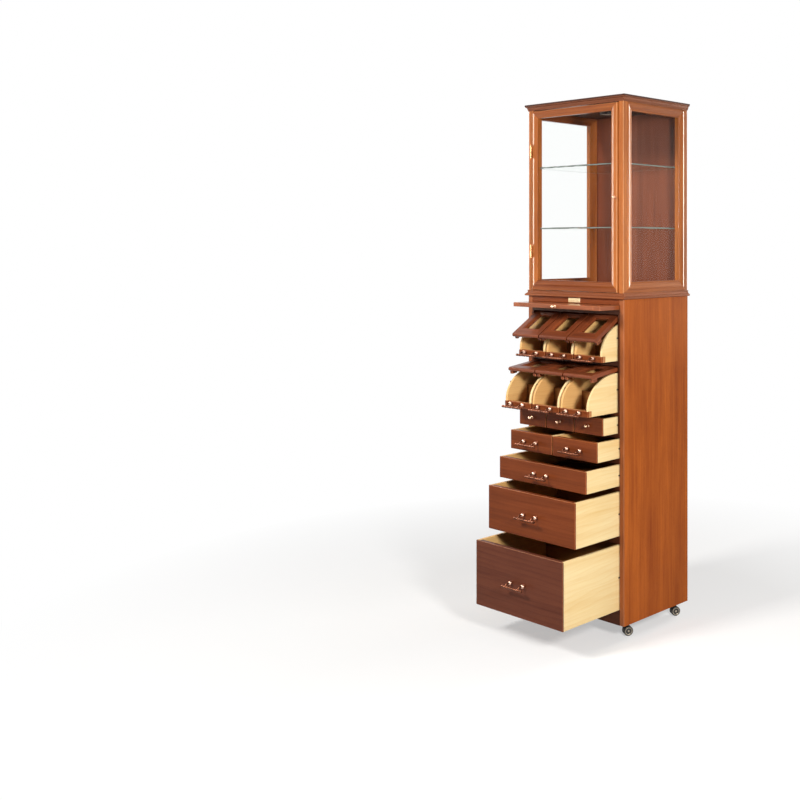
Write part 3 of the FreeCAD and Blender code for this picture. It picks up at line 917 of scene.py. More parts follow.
@dataclass(frozen=True)
class Lens(Finish):
    """A frosted lamp lens that glows softly."""

    name: str
    colour: Triple
    glow: float

    def wire(self, bench: Bench, place: Socket) -> Socket:
        """Frost the lens, with a glow that is a little uneven.

        Args:
            bench: The material's bench.
            place: Where the surface is read.

        Returns:
            The lens's socket.
        """
        frost = bench.effect("handling", place, Size=140.0, Amount=1.0)
        share = bench.span(frost["Shade"], 0.3, 0.7, 0.0, 0.3)
        tone = bench.mix(share, self.colour, [c * 0.8 for c in self.colour])
        rough = bench.math("MULTIPLY_ADD", frost["Roughness"], 0.2, 0.35)
        return bench.node("BsdfPrincipled", {"Base Color": tone, "Emission Color": tone, "Roughness": rough,
                                             "Emission Strength": self.glow}).outputs[0]


class Palette:
    """Every finish that the cabinet has."""

    panel = Timber("cherry_panel", ink(198, 106, 38), ink(120, 48, 14), ink(206, 118, 56), stave=0.085,
                   stave_tones=0.3, rings=0.15, figure=0.7, blotches=0.9, sheen=0.05, varnish=0.04)
    case = Timber("cherry_case", ink(200, 120, 60), ink(128, 64, 28), ink(240, 186, 132), roughness=0.3,
                  sheen=0.1, varnish=0.28, varnish_roughness=0.12, rubbed=0.7)
    trim = Timber("trim_wood", ink(168, 96, 54), ink(108, 54, 28), ink(206, 136, 92), sheen=0.1, varnish=0.2)
    cornice = Timber("cornice_wood", ink(138, 78, 46), ink(88, 44, 26), ink(176, 110, 74), sheen=0.1,
                     varnish=0.2)
    fillet = Timber("fillet_wood", ink(84, 46, 32), ink(56, 28, 20), ink(120, 72, 52), sheen=0.1, varnish=0.1)
    # Very dark wood for the case's ceiling: painted shade under the cornice.
    ceiling = Timber("ceiling_wood_painted_shade", ink(62, 36, 27), ink(40, 24, 18), ink(84, 52, 40), sheen=0.1,
                     varnish=0.05)
    lipping = Timber("lipping_wood", ink(178, 104, 62), ink(120, 62, 34), ink(206, 136, 92), sheen=0.1,
                     varnish=0.1)
    slide = Timber("slide_wood", ink(178, 98, 56), ink(112, 56, 28), ink(214, 146, 98), sheen=0.1,
                   varnish=0.6, varnish_roughness=0.05)
    front = Timber("drawer_front_wood", ink(138, 68, 32), ink(92, 40, 14), ink(206, 128, 78), rings=0.3,
                   sheen=0.08, varnish=0.1)
    deep_front = Timber("deep_front_wood", ink(114, 62, 42), ink(82, 40, 27), ink(184, 120, 84), rings=0.35,
                        ring_size=16.0, sheen=0.08, varnish=0.08)
    flap = Timber("flap_wood", ink(150, 78, 44), ink(88, 40, 22), ink(222, 146, 98), roughness=0.34,
                  varnish=0.2, rubbed=0.7)
    pine = Timber("pale_pine", ink(252, 232, 182), ink(232, 192, 124), ink(255, 238, 200), figure=0.9,
                  figure_size=0.7, rings=0.25, ring_size=18.0, waviness=0.12, pores=0.05, stave=0.14,
                  stave_tones=0.3, joints=0.06, roughness=0.48, varnish=0.05, rubbed=0.3, relief=0.08)
    # A darker, more orange copy of the pale pine for walls whose inner faces show: painted shade and painted
    # bounce light inside bins and drawers.
    gold_painted_shade = replace(pine, name="golden_pine_painted_shade", light=ink(242, 198, 132), dark=ink(216, 158, 90),
                   worn_and_highlit=ink(248, 220, 168), figure=0.6, figure_size=0.8, rings=0.3, ring_size=26.0)
    # Darker pine for the backs, bottoms and right-wall skins inside drawers and bins: painted shade where
    # little light reaches.
    painted_shade_pine = Timber("painted_shade_pine", ink(160, 108, 60), ink(110, 68, 34), ink(196, 146, 94), roughness=0.5,
                       sheen=0.1, varnish=0.05, rubbed=0.2)
    tan = Timber("tan_wood", ink(214, 152, 96), ink(160, 96, 52), ink(232, 186, 134), roughness=0.42,
                 varnish=0.15)
    back = Timber("case_back_wood", ink(148, 82, 57), ink(96, 50, 36), ink(160, 93, 67), stave=0.09,
                  stave_tones=0.4)
    # Dark wood for shelves, partitions, the carcass back and the base: painted shade between and behind the
    # drawers.
    inside = Timber("inner_wood_painted_shade", ink(96, 50, 28), ink(54, 26, 14), ink(120, 66, 38), roughness=0.5,
                    varnish=0.05)
    copper = Metal("old_copper", ink(126, 76, 54), ink(64, 32, 22), ink(255, 214, 190), roughness=0.34,
                   shown=0.9)
    brass = Metal("old_brass", ink(228, 178, 128), ink(150, 98, 58), roughness=0.24)
    plate = Metal("plate_brass", ink(250, 228, 184), ink(214, 176, 118), roughness=0.3)
    steel = Metal("plain_steel", ink(190, 190, 188), ink(120, 118, 114), roughness=0.3)
    rim = Metal("bright_rim", ink(178, 168, 150), ink(84, 76, 66), roughness=0.22)
    nylon = Moulded("dark_nylon", ink(44, 34, 30), ink(70, 60, 54))
    castor = Moulded("castor_black", ink(30, 27, 26), ink(60, 54, 48), roughness=0.38)
    glass = Glazing("clear_pane", (0.99, 0.998, 0.994))
    shelf = Glazing("shelf_glass", (0.95, 0.985, 0.97))
    shelf_edge = Moulded("shelf_edge", ink(116, 126, 120), ink(90, 100, 94), roughness=0.25)
    lens = Lens("lamp_lens", ink(164, 154, 142), 0.04)


# --------------------------------------------------------------------------------------
# Pieces
# --------------------------------------------------------------------------------------

SHARP_BOARD, SHARP_TURNED, SHARP_MOULDED = 50.0, 40.0, 38.0  # degrees over which lines are crisp


def piece(name: str, shape: Shape, finish: Finish, body: str, replaces: Sequence[str] = (),
          sharp: float = SHARP_BOARD) -> None:
    """Put one piece in the scene, on the body that carries it.

    Args:
        name: The piece's name.
        shape: Its points and faces, in place.
        finish: Its surface.
        body: The CAD body that it rides on.
        replaces: The CAD nodes that it stands for.
        sharp: The angle in degrees over which its lines are crisp.
    """
    made = bpy.data.objects.new(name, shape.mesh(name, sharp))
    made.data.materials.append(finish.material())
    bpy.context.scene.collection.objects.link(made)
    made.modifiers.new("even_shading", "WEIGHTED_NORMAL").keep_sharp = True
    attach(made, body)
    if replaces:
        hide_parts(*replaces)
    log.info("%s: %d faces on %s", name, len(shape.faces), body)


def fixed(name: str, shape: Shape, finish: Finish, node: str, sharp: float = SHARP_BOARD) -> None:
    """Put a piece of the cabinet's fixed body in the scene, in place of its CAD node."""
    piece(name, shape, finish, "cabinet", [node], sharp)


def dress_node(node: str, finish: Finish, reading: Reading) -> None:
    """Give a CAD node that stays in view its finish.

    Args:
        node: The node's name.
        finish: Its surface.
        reading: Where the surface reads its place from.
    """
    carried = frame["nodes"][node]
    carried.data.materials.clear()
    carried.data.materials.append(finish.material(reading))
    log.info("%s keeps its CAD shape in %s", node, finish.name)


def joint_place(body: str) -> Vector:
    """Where the joint that carries a CAD body has its axis, in millimetres."""
    return Vector(next(joint for joint in frame["joints"] if joint["child"] == body)["pos_m"]) / MM


@dataclass
class Handle:
    """A bridge handle: two roses with ball heads, two swept arms and a turned bar."""

    centres: float = 64
    bar_half: float = 52
    reach: float = 37
    bar_radius: float = 5
    thin: float = 3.3
    arm_radius: float = 2.7
    arm_start: float = 10
    arm_lift: float = 2.4
    drop: float = 9
    foot: Tuple[Tuple[float, float], ...] = ((0, 0), (0, 6.4), (0.5, 7.0), (1.4, 7.0), (2.0, 6.0), (2.6, 4.0),
                                             (2.6, 0))
    beads: Tuple[Triple, ...] = ((7.5, 6.0, 4.8), (19.0, 5.5, 4.5), (32.0, 7.0, 5.0), (45.0, 6.0, 4.6))

    def fit(self, name: str, body: str, at: Sequence[float], node: str) -> None:
        """Shape it facing -Y, and fit it to a front.

        Args:
            name: The piece's name.
            body: The body that carries it.
            at: The middle of its roses' backs.
            node: The CAD node that it stands for.
        """
        made = Shape()
        bar_y = self.bar_radius - self.reach
        ball = [(2.3, 0)] + arc((8.4, 0), (6.2, 7.0), 165, 10, 12) + [(14.6, 0)]
        for x in (-self.centres / 2, self.centres / 2):
            made.turned(self.foot, (x, 0, 0), (0, -1, 0))
            # The ball heads are fully worn: they take the polished colour as polish and as a painted
            # highlight.
            made.turned(ball, (x, 0, 0), (0, -1, 0), rubbed=1.0)
            path = []
            for t in [n / 16 for n in range(17)]:
                y = (bar_y + self.arm_start) * math.sin(t * math.pi / 2) - self.arm_start
                lift = self.arm_lift * math.sin(math.pi * min(t * 1.4, 1.0)) - self.drop * t * t
                path.append(Vector((x, y, lift)))
            made.swept(path, self.arm_radius)
        half = self.bar_half
        bar: Outline = [(0, 0)]
        for middle, wide, top in [(-m, w, t) for m, w, t in self.beads[::-1]] + list(self.beads):
            bar += arc((half + middle, self.thin), (wide, top - self.thin), 162, 18, 9)
        bar.append((2 * half, 0))
        made.turned(bar, (-half, bar_y, -self.drop), (1, 0, 0))
        piece(name, made.moved(Matrix.Translation(at)), Palette.copper, body, [node],
              SHARP_TURNED)


@dataclass
class Knob:
    """A round knob on a turned neck."""

    reach: float = 20
    radius: float = 7

    def fit(self, name: str, body: str, at: Sequence[float]) -> None:
        """Shape it facing -Y, and fit it to a front.

        Args:
            name: The piece's name.
            body: The body that carries it.
            at: The middle of its foot.
        """
        centre = self.reach - self.radius
        neck = centre - self.radius * 0.86
        outline = [(0, 0), (0, 5.2), (0.8, 5.5), (1.6, 5.2), (min(2.2, neck), 4.0), (min(3.4, neck), 3.1),
                   (neck, 2.9)]
        outline += arc((centre, 0), (self.radius, self.radius), 180 * 11 / 14, 180 / 14, 11)
        outline.append((self.reach, 0))
        # Mostly worn, so the knob takes the polished colour as polish and as a painted highlight.
        made = Shape().turned(outline, (0, 0, 0), (0, -1, 0), rubbed=0.8).moved(Matrix.Translation(at))
        piece(name, made, Palette.brass, body, sharp=SHARP_TURNED)


@dataclass
class Moving:
    """A sub-assembly on a body of its own, in place of a CAD node of the same name."""

    name: str

    def part(self, tag: str, shape: Shape, finish: Finish, slot: str, sharp: float = SHARP_BOARD) -> None:
        """Put one of its parts in the scene."""
        piece(f"{self.name}_{tag}", shape, finish, self.name, [self.name], sharp)


@dataclass
class Drawer(Moving):
    """A drawer: a dark front lapped over pale sides, with a back and a bottom."""

    finish: Timber
    knob: Optional[Knob] = None
    lap: float = 6
    front: float = 20
    wall: float = 12
    bottom: float = 6
    rise: float = 6
    back_drop: float = 10
    # thickness of a thin sheet on the right wall's inner face that carries the painted shade
    painted_shade_skin: float = 1.5
    seam: float = 0.4

    def build(self) -> None:
        """Build its front, its box and its handle or knob."""
        low, high = box(self.name)
        face = low.y + (self.knob.reach if self.knob else 0.0)
        lap, end = face + self.lap, high.y - 0.5
        left, right = low.x + self.wall, high.x - self.wall
        front = Shape().board((low.x, face, low.z), (high.x, lap, high.z), Axis.X, 1.6)
        front.board((left, lap - 2, low.z + 0.5), (right, face + self.front, high.z - 0.5), Axis.X)
        self.part("front", front, self.finish, "drawer_wood")
        # The left side, whose inner face shows, takes the golden pine as painted shade; the right side stays
        # pale.
        for side, x0, x1, wood in (("left", low.x, left, Palette.gold_painted_shade),
                                   ("right", right + self.painted_shade_skin, high.x, Palette.pine)):
            wall = Shape().board((x0, lap - 0.2, low.z + 0.6), (x1, high.y, high.z - 0.6), Axis.Y)
            self.part(side + "_side", wall, wood, "drawer_wood")
        start, base = face + self.front - 1, low.z + self.rise
        floor = base + self.bottom
        x0, x1, top = left - self.seam, right + self.seam, high.z - self.back_drop
        # The back, the bottom and a thin skin on the right wall's inner face take the darker pine: painted
        # shade.
        inside = Shape().board((x0, high.y - self.wall, floor), (x1, end, top), Axis.X)
        inside.board((x0, start, base), (x1, end, floor), Axis.X, 0.3)
        inside.board((right, start, base), (right + self.painted_shade_skin + 0.2, end, high.z - 0.8), Axis.Y, 0.3)
        self.part("inside", inside, Palette.painted_shade_pine, "drawer_wood")
        middle = ((low.x + high.x) / 2, face, (low.z + high.z) / 2)
        if self.knob:
            self.knob.fit(self.name + "_knob", self.name, middle)
        else:
            Handle().fit(self.name + "_pull", self.name, middle, self.name + "_handle")


@dataclass
class ScoopBin(Moving):
    """A scoop bin: two sides cut to a quarter ellipse, a low lip, a bottom, a divider and a back."""

    wall: float = 12
    seam: float = 2
    # thickness of a thin sheet on the right wall's inner face that carries the painted shade
    painted_shade_skin: float = 1.5
    bottom: float = 8
    lip_height: float = 22
    lip_thick: float = 20
    lip_facing: float = 9
    nose_height: float = 28
    nose_setback: float = 2
    arc_length: float = 165
    divider_setback: float = 108
    divider_thick: float = 8
    divider_height: float = 75
    handle_rise: float = 14.5
    plug_place: Tuple[float, float] = (30, 90)

    def build(self) -> None:
        """Build its sides, its inside, its lip and its handle."""
        low, high = box(self.name)
        x, y, z = low
        left, right = x + self.wall, high.x - self.wall
        lip_back, lip_top, nose = y + self.lip_thick, z + self.lip_height, y + self.nose_setback
        outline = arc((nose + self.arc_length, z + self.nose_height),
                      (self.arc_length, high.z - z - self.nose_height), 180, 90, 17)
        outline += [(high.y, high.z), (high.y, z), (lip_back, z), (lip_back, lip_top), (nose, lip_top)]
        # The left wall, whose inner face shows, is in the golden pine: painted shade.
        self.part("left_wall", Shape().slab(outline, x + self.seam, left), Palette.gold_painted_shade, "pale_wood")
        # The right wall is pale outside; a thin skin on its inner face takes the darker pine as painted
        # shade.
        outer = Shape().slab(outline, right + self.painted_shade_skin, high.x - self.seam)
        self.part("right_wall", outer, Palette.pine, "pale_wood")
        inside = Shape().slab(outline, right, right + self.painted_shade_skin)
        # The bottom, the divider and the back join that skin in the darker pine: painted shade.
        divider, end = y + self.divider_setback, high.y - 0.5
        for y0, y1, top in ((lip_back - 1, end, z + self.bottom),
                            (divider, divider + self.divider_thick, z + self.divider_height),
                            (high.y - self.wall, end, high.z)):
            inside.board((left - 0.4, y0, z), (right + 0.4, y1, top), Axis.X, 0.4)
        self.part("inside", inside, Palette.painted_shade_pine, "pale_wood")
        face = y + self.lip_facing
        rail = Shape().board((x, face - 0.5, z), (high.x, lip_back, lip_top), Axis.X)
        self.part("rail", rail, Palette.tan, "pale_wood")
        lip = Shape().board(low, (high.x, face, lip_top), Axis.X, 1.5)
        self.part("lip", lip, Palette.front, "drawer_wood")
        plug = Shape().turned([(0, 0), (0, 4.2), (0.3, 4.0), (0.4, 3.2), (0.4, 0)],
                              (x + self.seam, y + self.plug_place[0], z + self.plug_place[1]), (-1, 0, 0), 20)
        piece(self.name + "_plug", plug, Palette.nylon, self.name)
        Handle().fit(self.name + "_pull", self.name, ((x + high.x) / 2, y, z + self.handle_rise),
                     self.name + "_handle")


@dataclass
class Flap(Moving):
    """A glazed flap that hangs from its rod: four mitred members, and a pad behind each low corner."""

    rest: float
    thick: float = 15
    drop: float = 155.5
    stile: float = 35
    top_rail: float = 22
    bottom_rail: float = 48
    moulding: float = 10
    pane: float = 3
    groove: float = 5
    pad: Triple = (14, 12, 26)
    seam: float = 1.2

    def rings(self, half: float) -> List[Ring]:
        """The lines of the frame's section, with the rod's axis at the origin.

        Args:
            half: Half the flap's width.

        Returns:
            The lines, from the front's outer edge round to where they started.
        """
        nose = self.thick / 2
        made = []
        for turn in [math.pi * n / 8 for n in range(9)]:
            reach = nose * math.sin(turn)
            made.append(Ring(-half, half, nose - self.drop - reach, reach, nose * math.cos(turn)))
        side = half - self.stile
        opening = Ring(-side, side, self.bottom_rail - self.drop, nose - self.top_rail)
        for out, depth in ((self.moulding, 0), (self.moulding - 0.8, 1.0), (8.0, 0.5), (6.6, 0.4), (5.2, 1.0),
                           (4.4, 2.0), (2.2, 3.0), (0.6, 4.2), (0, 5.0), (0, self.thick - 2.0),
                           (1.2, self.thick)):
            made.append(opening.grown(out, depth - nose))
        return made

    def build(self) -> None:
        """Build the frame, its pads and its pane, and swing them to where they rest."""
        low, high = box(self.name)
        half = (high.x - low.x) / 2 - self.seam
        place = Matrix.Translation(joint_place(self.name))
        place @= Matrix.Rotation(-math.radians(self.rest), 4, "X")
        back = self.thick / 2
        wood = Shape().mitred(self.rings(half)).moved(place)
        self.part("frame", wood, Palette.flap, "flap_wood", SHARP_MOULDED)
        pads = Shape()
        width, depth, length = self.pad
        foot = back - self.drop
        for x in (-half, half - width):
            pads.board((x, back, foot), (x + width, back + depth, foot + length), Axis.Z, 1.2)
        self.part("pads", pads.moved(place), Palette.flap, "flap_wood")
        edge = half - self.stile + self.groove
        glass = Shape().board((-edge, -self.pane / 2, self.bottom_rail - self.drop - self.groove),
                              (edge, self.pane / 2, back - self.top_rail + self.groove), Axis.Z, 0.3)
        self.part("pane", glass.moved(place), Palette.glass, "clear_glass")


@dataclass
class Carcass:
    """The chest's fixed woodwork, its rods and its name plate."""

    pin: float = 1.6
    plate_inset: float = 4.5
    nib: float = 7
    lipping: float = 5

    def build(self) -> None:
        """Build the panels, boards, partitions and plate, and dress the rest."""
        low, high = box("side_panels")
        thick = box("back_panel")[0].x - low.x
        edge = low.y + self.lipping
        for name, x in (("side_panel_left", low.x), ("side_panel_right", high.x - thick)):
            panel = Shape().board((x, edge, low.z), (x + thick, high.y, high.z), Axis.Z, 0.6)
            fixed(name, panel, Palette.panel, "side_panels")
            lipping = Shape().board((x, low.y, low.z), (x + thick, edge, high.z), Axis.Z, 1.4)
            fixed(name + "_lipping", lipping, Palette.lipping, "side_panels")
        boards = solids_of("shelf_boards")
        for name, solids, finish, node, along, ease in (
                # Shelves and partitions take the dark inner wood: painted shade.
                ("shelves", boards[:-1], Palette.inside, "shelf_boards", Axis.X, EASE),
                ("top_rail", boards[-1:], Palette.front, "shelf_boards", Axis.X, EASE),
                ("partition_walls", solids_of("partitions"), Palette.inside, "partitions", Axis.Y, 0.6)):
            made = Shape()
            for a, b in solids:
                made.board(a, b, along, ease)
            fixed(name, made, finish, node)
        # The carcass back and the base take the dark inner wood: painted shade.
        dress_node("back_panel", Palette.inside, Reading.OBJECT_Z)
        dress_node("base", Palette.inside, Reading.OBJECT_X)
        dress_node("flap_rods", Palette.steel, Reading.OBJECT_X)
        self.plate()
        self.buttons()

    def plate(self) -> None:
        """Build the bare brass plate and the two pins that hold it."""
        low, high = box("name_plate")
        plate = Shape().board(low, high, Axis.X, 0.6)
        r = self.pin
        dome = [(0, 0), (0, r), (r * 0.25, r * 0.92), (r * 0.45, r * 0.6), (r * 0.52, 0)]
        for x in (low.x + self.plate_inset, high.x - self.plate_inset):
            plate.turned(dome, (x, low.y, (low.z + high.z) / 2), (0, -1, 0), 20)
        fixed("bare_plate", plate, Palette.plate, "name_plate", SHARP_TURNED)

    def buttons(self) -> None:
        """Build the guide buttons inside the sides, each with the nib that shows at the front edge."""
        made = Shape()
        for low, high in solids_of("guide_buttons"):
            radius, reach = (high.z - low.z) / 2, high.x - low.x
            way = 1 if low.x < 0 else -1
            start = (low.x if way > 0 else high.x, (low.y + high.y) / 2, (low.z + high.z) / 2)
            outline = [(0, 0), (0, radius)] + arc((reach - 1.5, radius - 1.5), (1.5, 1.5), 90, 0, 5)
            made.turned(outline + [(reach, 0)], start, (way, 0, 0), 24)
            front, back = low.y - self.nib, low.y + radius
            made.board((low.x, front, low.z + 1.6), (high.x, back, high.z - 1.6), Axis.Y, 0.5)
        fixed("guide_button_set", made, Palette.nylon, "guide_buttons", SHARP_TURNED)


@dataclass
class WritingSlide(Moving):
    """The pull-out writing slide and its knob."""

    name: str = "writing_slide"
    knob: Knob = field(default_factory=lambda: Knob(radius=6))
    clamp: float = 34

    def build(self) -> None:
        """Build the slide with a cross-grained clamp at each end, and its knob."""
        low, high = box(self.name)
        face = low.y + self.knob.reach
        left, right = low.x + self.clamp, high.x - self.clamp
        top = Shape()
        for x0, x1, along in ((low.x, left, Axis.Y), (right, high.x, Axis.Y),
                              (left - 0.3, right + 0.3, Axis.X)):
            top.board((x0, face, low.z), (x1, high.y, high.z), along, 1.2)
        piece("slide_top", top, Palette.slide, self.name, [self.name])
        self.knob.fit("slide_knob", self.name, ((low.x + high.x) / 2, face, (low.z + high.z) / 2))


@dataclass
class GlazedFrame:
    """A moulded and mitred frame for a pane."""

    stile: float
    top_rail: float
    bottom_rail: float
    thick: float
    moulding: float
    bead: float = 6
    rounding: float = 1.2
    flat: float = 2.4
    depth: float = 8
    lip: float = 1.0

    def section(self) -> Outline:
        """How far out from the opening and how deep each line lies, from the face to the back.

        Returns:
            The lines, as pairs of the two.
        """
        crest, foot, edge = self.moulding - 7, self.bead + 1.4, self.moulding
        half = foot / 2 - 0.4
        made = [(edge, self.flat), (edge - 0.6, self.flat - 0.7), (crest + 1.6, 0.25), (crest, 0.0),
                (crest - 1.2, 0.35), (foot, self.depth - 2.4), (foot - 0.8, self.depth - 1.6)]
        made += arc((half, self.depth - 1.4), (half, 1.4), -10, -170, 7)
        return made + [(0.0, self.depth), (0.0, self.thick - self.lip), (self.lip, self.thick)]

    def shape(self, width: float, height: float) -> Shape:
        """Shape the frame with the middle of its foot's face at the origin, facing -Y.

        Args:
            width: Its width.
            height: Its height.

        Returns:
            The shape.
        """
        half, r = width / 2, self.rounding
        outside = Ring(-half, half, 0, height)
        opening = Ring(self.stile - half, half - self.stile, self.bottom_rail, height - self.top_rail)
        rings = [outside.grown(0, self.thick - self.lip)]
        for t in [math.pi * n / 12 for n in range(7)]:
            rings.append(outside.grown(r * (math.cos(t) - 1), self.flat + r * (1 - math.sin(t))))
        rounded = len(rings)
        rings += [opening.grown(out, depth) for out, depth in self.section()]
        rings.append(outside.grown(-self.lip, self.thick))
        # The outer rounding is marked worn: wear and a painted highlight along the frame's edges.
        return Shape().mitred(rings, 0.4, range(1, rounded - 1))


@dataclass
class DisplayCase:
    """The glazed case's fixed parts: mouldings, side frames, back, shelves and lamp."""

    side: GlazedFrame = field(default_factory=lambda: GlazedFrame(52, 32, 41, 25, 30))
    root: float = -30
    inner: float = 29
    rim: float = 1.2
    lamp_wall: float = 5.2

    def build(self) -> None:
        """Build and dress the fixed parts."""
        low, high = box("case_side_frames")
        for sign, name in ((-1, "case_side_left"), (1, "case_side_right")):
            place = Matrix.Translation((sign * high.x, (low.y + high.y) / 2, low.z))
            place @= Matrix.Rotation(sign * math.pi / 2, 4, "Z")
            wood = self.side.shape(high.y - low.y, high.z - low.z).moved(place)
            fixed(name, wood, Palette.case, "case_side_frames", SHARP_MOULDED)
        self.mouldings(high.x)
        dress_node("case_back", Palette.back, Reading.OBJECT_Z)
        dress_node("case_side_panes", Palette.glass, Reading.OBJECT_Z)
        self.shelves()
        dress_node("shelf_pegs", Palette.brass, Reading.OBJECT_X)
        self.lamp()

    def shelves(self) -> None:
        """Build the glass shelves, each a clear plate with ground edges."""
        plates, edges = Shape(), Shape()
        rim = self.rim
        for low, high in solids_of("glass_shelves"):
            x0, x1, y0, y1 = low.x + rim, high.x - rim, low.y + rim, high.y - rim
            plates.board((x0, y0, low.z), (x1, y1, high.z), Axis.X, 0.2)
            for a, b, c, d in ((low.x, high.x, low.y, y0), (low.x, high.x, y1, high.y), (low.x, x0, y0, y1),
                               (x1, high.x, y0, y1)):
                edges.board((a, c, low.z + rim), (b, d, high.z - rim), Axis.X, 0.3)
        fixed("shelf_plates", plates, Palette.shelf, "glass_shelves")
        fixed("shelf_edges", edges, Palette.shelf_edge, "glass_shelves")

    def mouldings(self, half: float) -> None:
        """Build the waist moulding under the case, and the cornice: a plate over a hollow moulding.

        Args:
            half: Half the cabinet's width.
        """
        root = self.root
        (plate_low, plate_high), (board_low, board_high) = solids_of("waist_moulding")
        out, base, top = plate_high.x - half, board_low.z, board_high.z
        nose = (plate_high.z - plate_low.z) / 2
        plate = [(root, plate_high.z), (root, plate_low.z)]
        plate += arc((out - nose * 0.8, plate_low.z + nose), (nose * 0.8, nose), -90, 90, 9)
        cove = [(root, top), (root, base), (7.5, base), (7.5, base + 1.6)]
        cove += arc((7.0, base + 9.6), (5.2, 8.0), 270, 180, 7)
        cove += [(2.6, base + 10.2), (2.6, top - 0.6), (2.0, top)]
        trims = (("waist_trim", Palette.trim, (plate, cove)),)
        self.run("waist_moulding", half, (plate_low.z, top), trims, ("case_floor", Palette.back))
        (board_low, _), (plate_low, plate_high) = solids_of("cornice")[:2]
        out, base, low, top = plate_high.x - half, board_low.z, plate_low.z, plate_high.z
        cyma = [(root, low), (root, base), (1.2, base), (1.2, base + 4.0), (2.4, base + 4.4),
                (2.4, base + 6.4)]
        cyma += arc((8.4, base + 7.0), (5.4, 7.6), 180, 90, 7) + [(9.4, base + 15.0), (9.4, low)]
        plate = [(root, top), (root, low), (out - 1.0, low), (out, low + 1.2), (out, top - 1.6),
                 (out - 1.4, top)]
        trims = (("cornice_trim", Palette.cornice, (cyma,)), ("cornice_plate", Palette.fillet, (plate,)))
        # The ceiling board takes the dark ceiling wood: painted shade.
        self.run("cornice", half, (base, top), trims, ("case_ceiling", Palette.ceiling))

    def run(self, node: str, half: float, heights: Tuple[float, float],
            trims: Sequence[Tuple[str, Timber, Sequence[Outline]]], board: Tuple[str, Timber]) -> None:
        """Run mouldings round the cabinet, with a board inside them.

        Args:
            node: The CAD node that they stand for.
            half: Half the cabinet's width.
            heights: The board's lowest and highest places.
            trims: The name, the wood and the sections of each moulding.
            board: The name and the wood of the board.
        """
        low, high = box(node)
        front = low.y + high.x - half
        for name, wood, sections in trims:
            made = Shape()
            for section in sections:
                made.skirted(section, half, front, high.y)
            fixed(name, made, wood, node, SHARP_MOULDED)
        inner = half - self.inner
        made = Shape().board((-inner, front + self.inner, heights[0]), (inner, high.y, heights[1]), Axis.X)
        fixed(board[0], made, board[1], node)

    def lamp(self) -> None:
        """Build the ceiling lamp: a lens in the mouth of a dark cup."""
        low, high = box("ceiling_lamp")
        top = ((low.x + high.x) / 2, (low.y + high.y) / 2, high.z)
        radius, drop = (high.x - low.x) / 2, high.z - low.z
        inner = radius - self.lamp_wall
        lens = Shape().turned([(0, 0), (0, inner), (drop - 1.2, inner), (drop - 0.6, inner - 1.2), (drop, 0)],
                              top, (0, 0, -1), 40)
        fixed("lamp_lens_disc", lens, Palette.lens, "ceiling_lamp", SHARP_TURNED)
        cup = Shape().turned([(0, inner), (0, radius), (drop - 1.4, radius), (drop - 0.2, radius - 1.2),
                              (drop, radius - 3.4), (drop - 0.8, inner)], top, (0, 0, -1), 40, ring=True)
        piece("lamp_ring", cup, Palette.nylon, "cabinet", sharp=SHARP_TURNED)


@dataclass
class Door:
    """The case's door with its knob and hinges."""

    frame: GlazedFrame = field(default_factory=lambda: GlazedFrame(29, 28, 38, 20, 22, 2.4, 1.4))
    knob: Knob = field(default_factory=lambda: Knob(13, 6))
    knob_height: float = 1625
    knob_inset: float = 8
    knuckle: float = 3

    def build(self) -> None:
        """Build the frame, dress the pane, and fit the knob and the hinges."""
        low, high = box("door_frame")
        wood = self.frame.shape(high.x - low.x, high.z - low.z)
        wood.moved(Matrix.Translation(((low.x + high.x) / 2, low.y, low.z)))
        piece("door_wood", wood, Palette.case, "door", ["door_frame"], SHARP_MOULDED)
        dress_node("door_pane", Palette.glass, Reading.OBJECT_Z)
        self.knob.fit("door_knob", "door", (high.x - self.knob_inset, low.y, self.knob_height))
        dress_node("door_hinges", Palette.brass, Reading.OBJECT_Z)
        self.leaves()

    def leaves(self) -> None:
        """Build the hinges' swinging leaves, each a plate, a turned knuckle and its finial."""
        made = Shape()
        r = self.knuckle
        for low, high in solids_of("door_fittings"):
            if high.x > 0:
                continue
            x, y, middle = low.x + r, low.y + r, (low.z + high.z) / 2
            top = high.z - middle
            outline = [(0.4, 0), (0.4, r - 0.3), (0.8, r), (top - 0.5, r), (top, r - 0.5),
                       (top + 0.8, r * 0.55), (top + 1.8, r * 0.7), (top + 3.2, r * 0.4), (top + 3.8, 0)]
            made.turned(outline, (x, y, middle), (0, 0, 1), 24)
            made.board((x + r - 2.8, y, middle + 0.4), (x + r - 2.0, high.y, high.z), Axis.Z, 0.2)
        piece("door_hinge_leaves", made, Palette.brass, "door", ["door_fittings"], SHARP_TURNED)


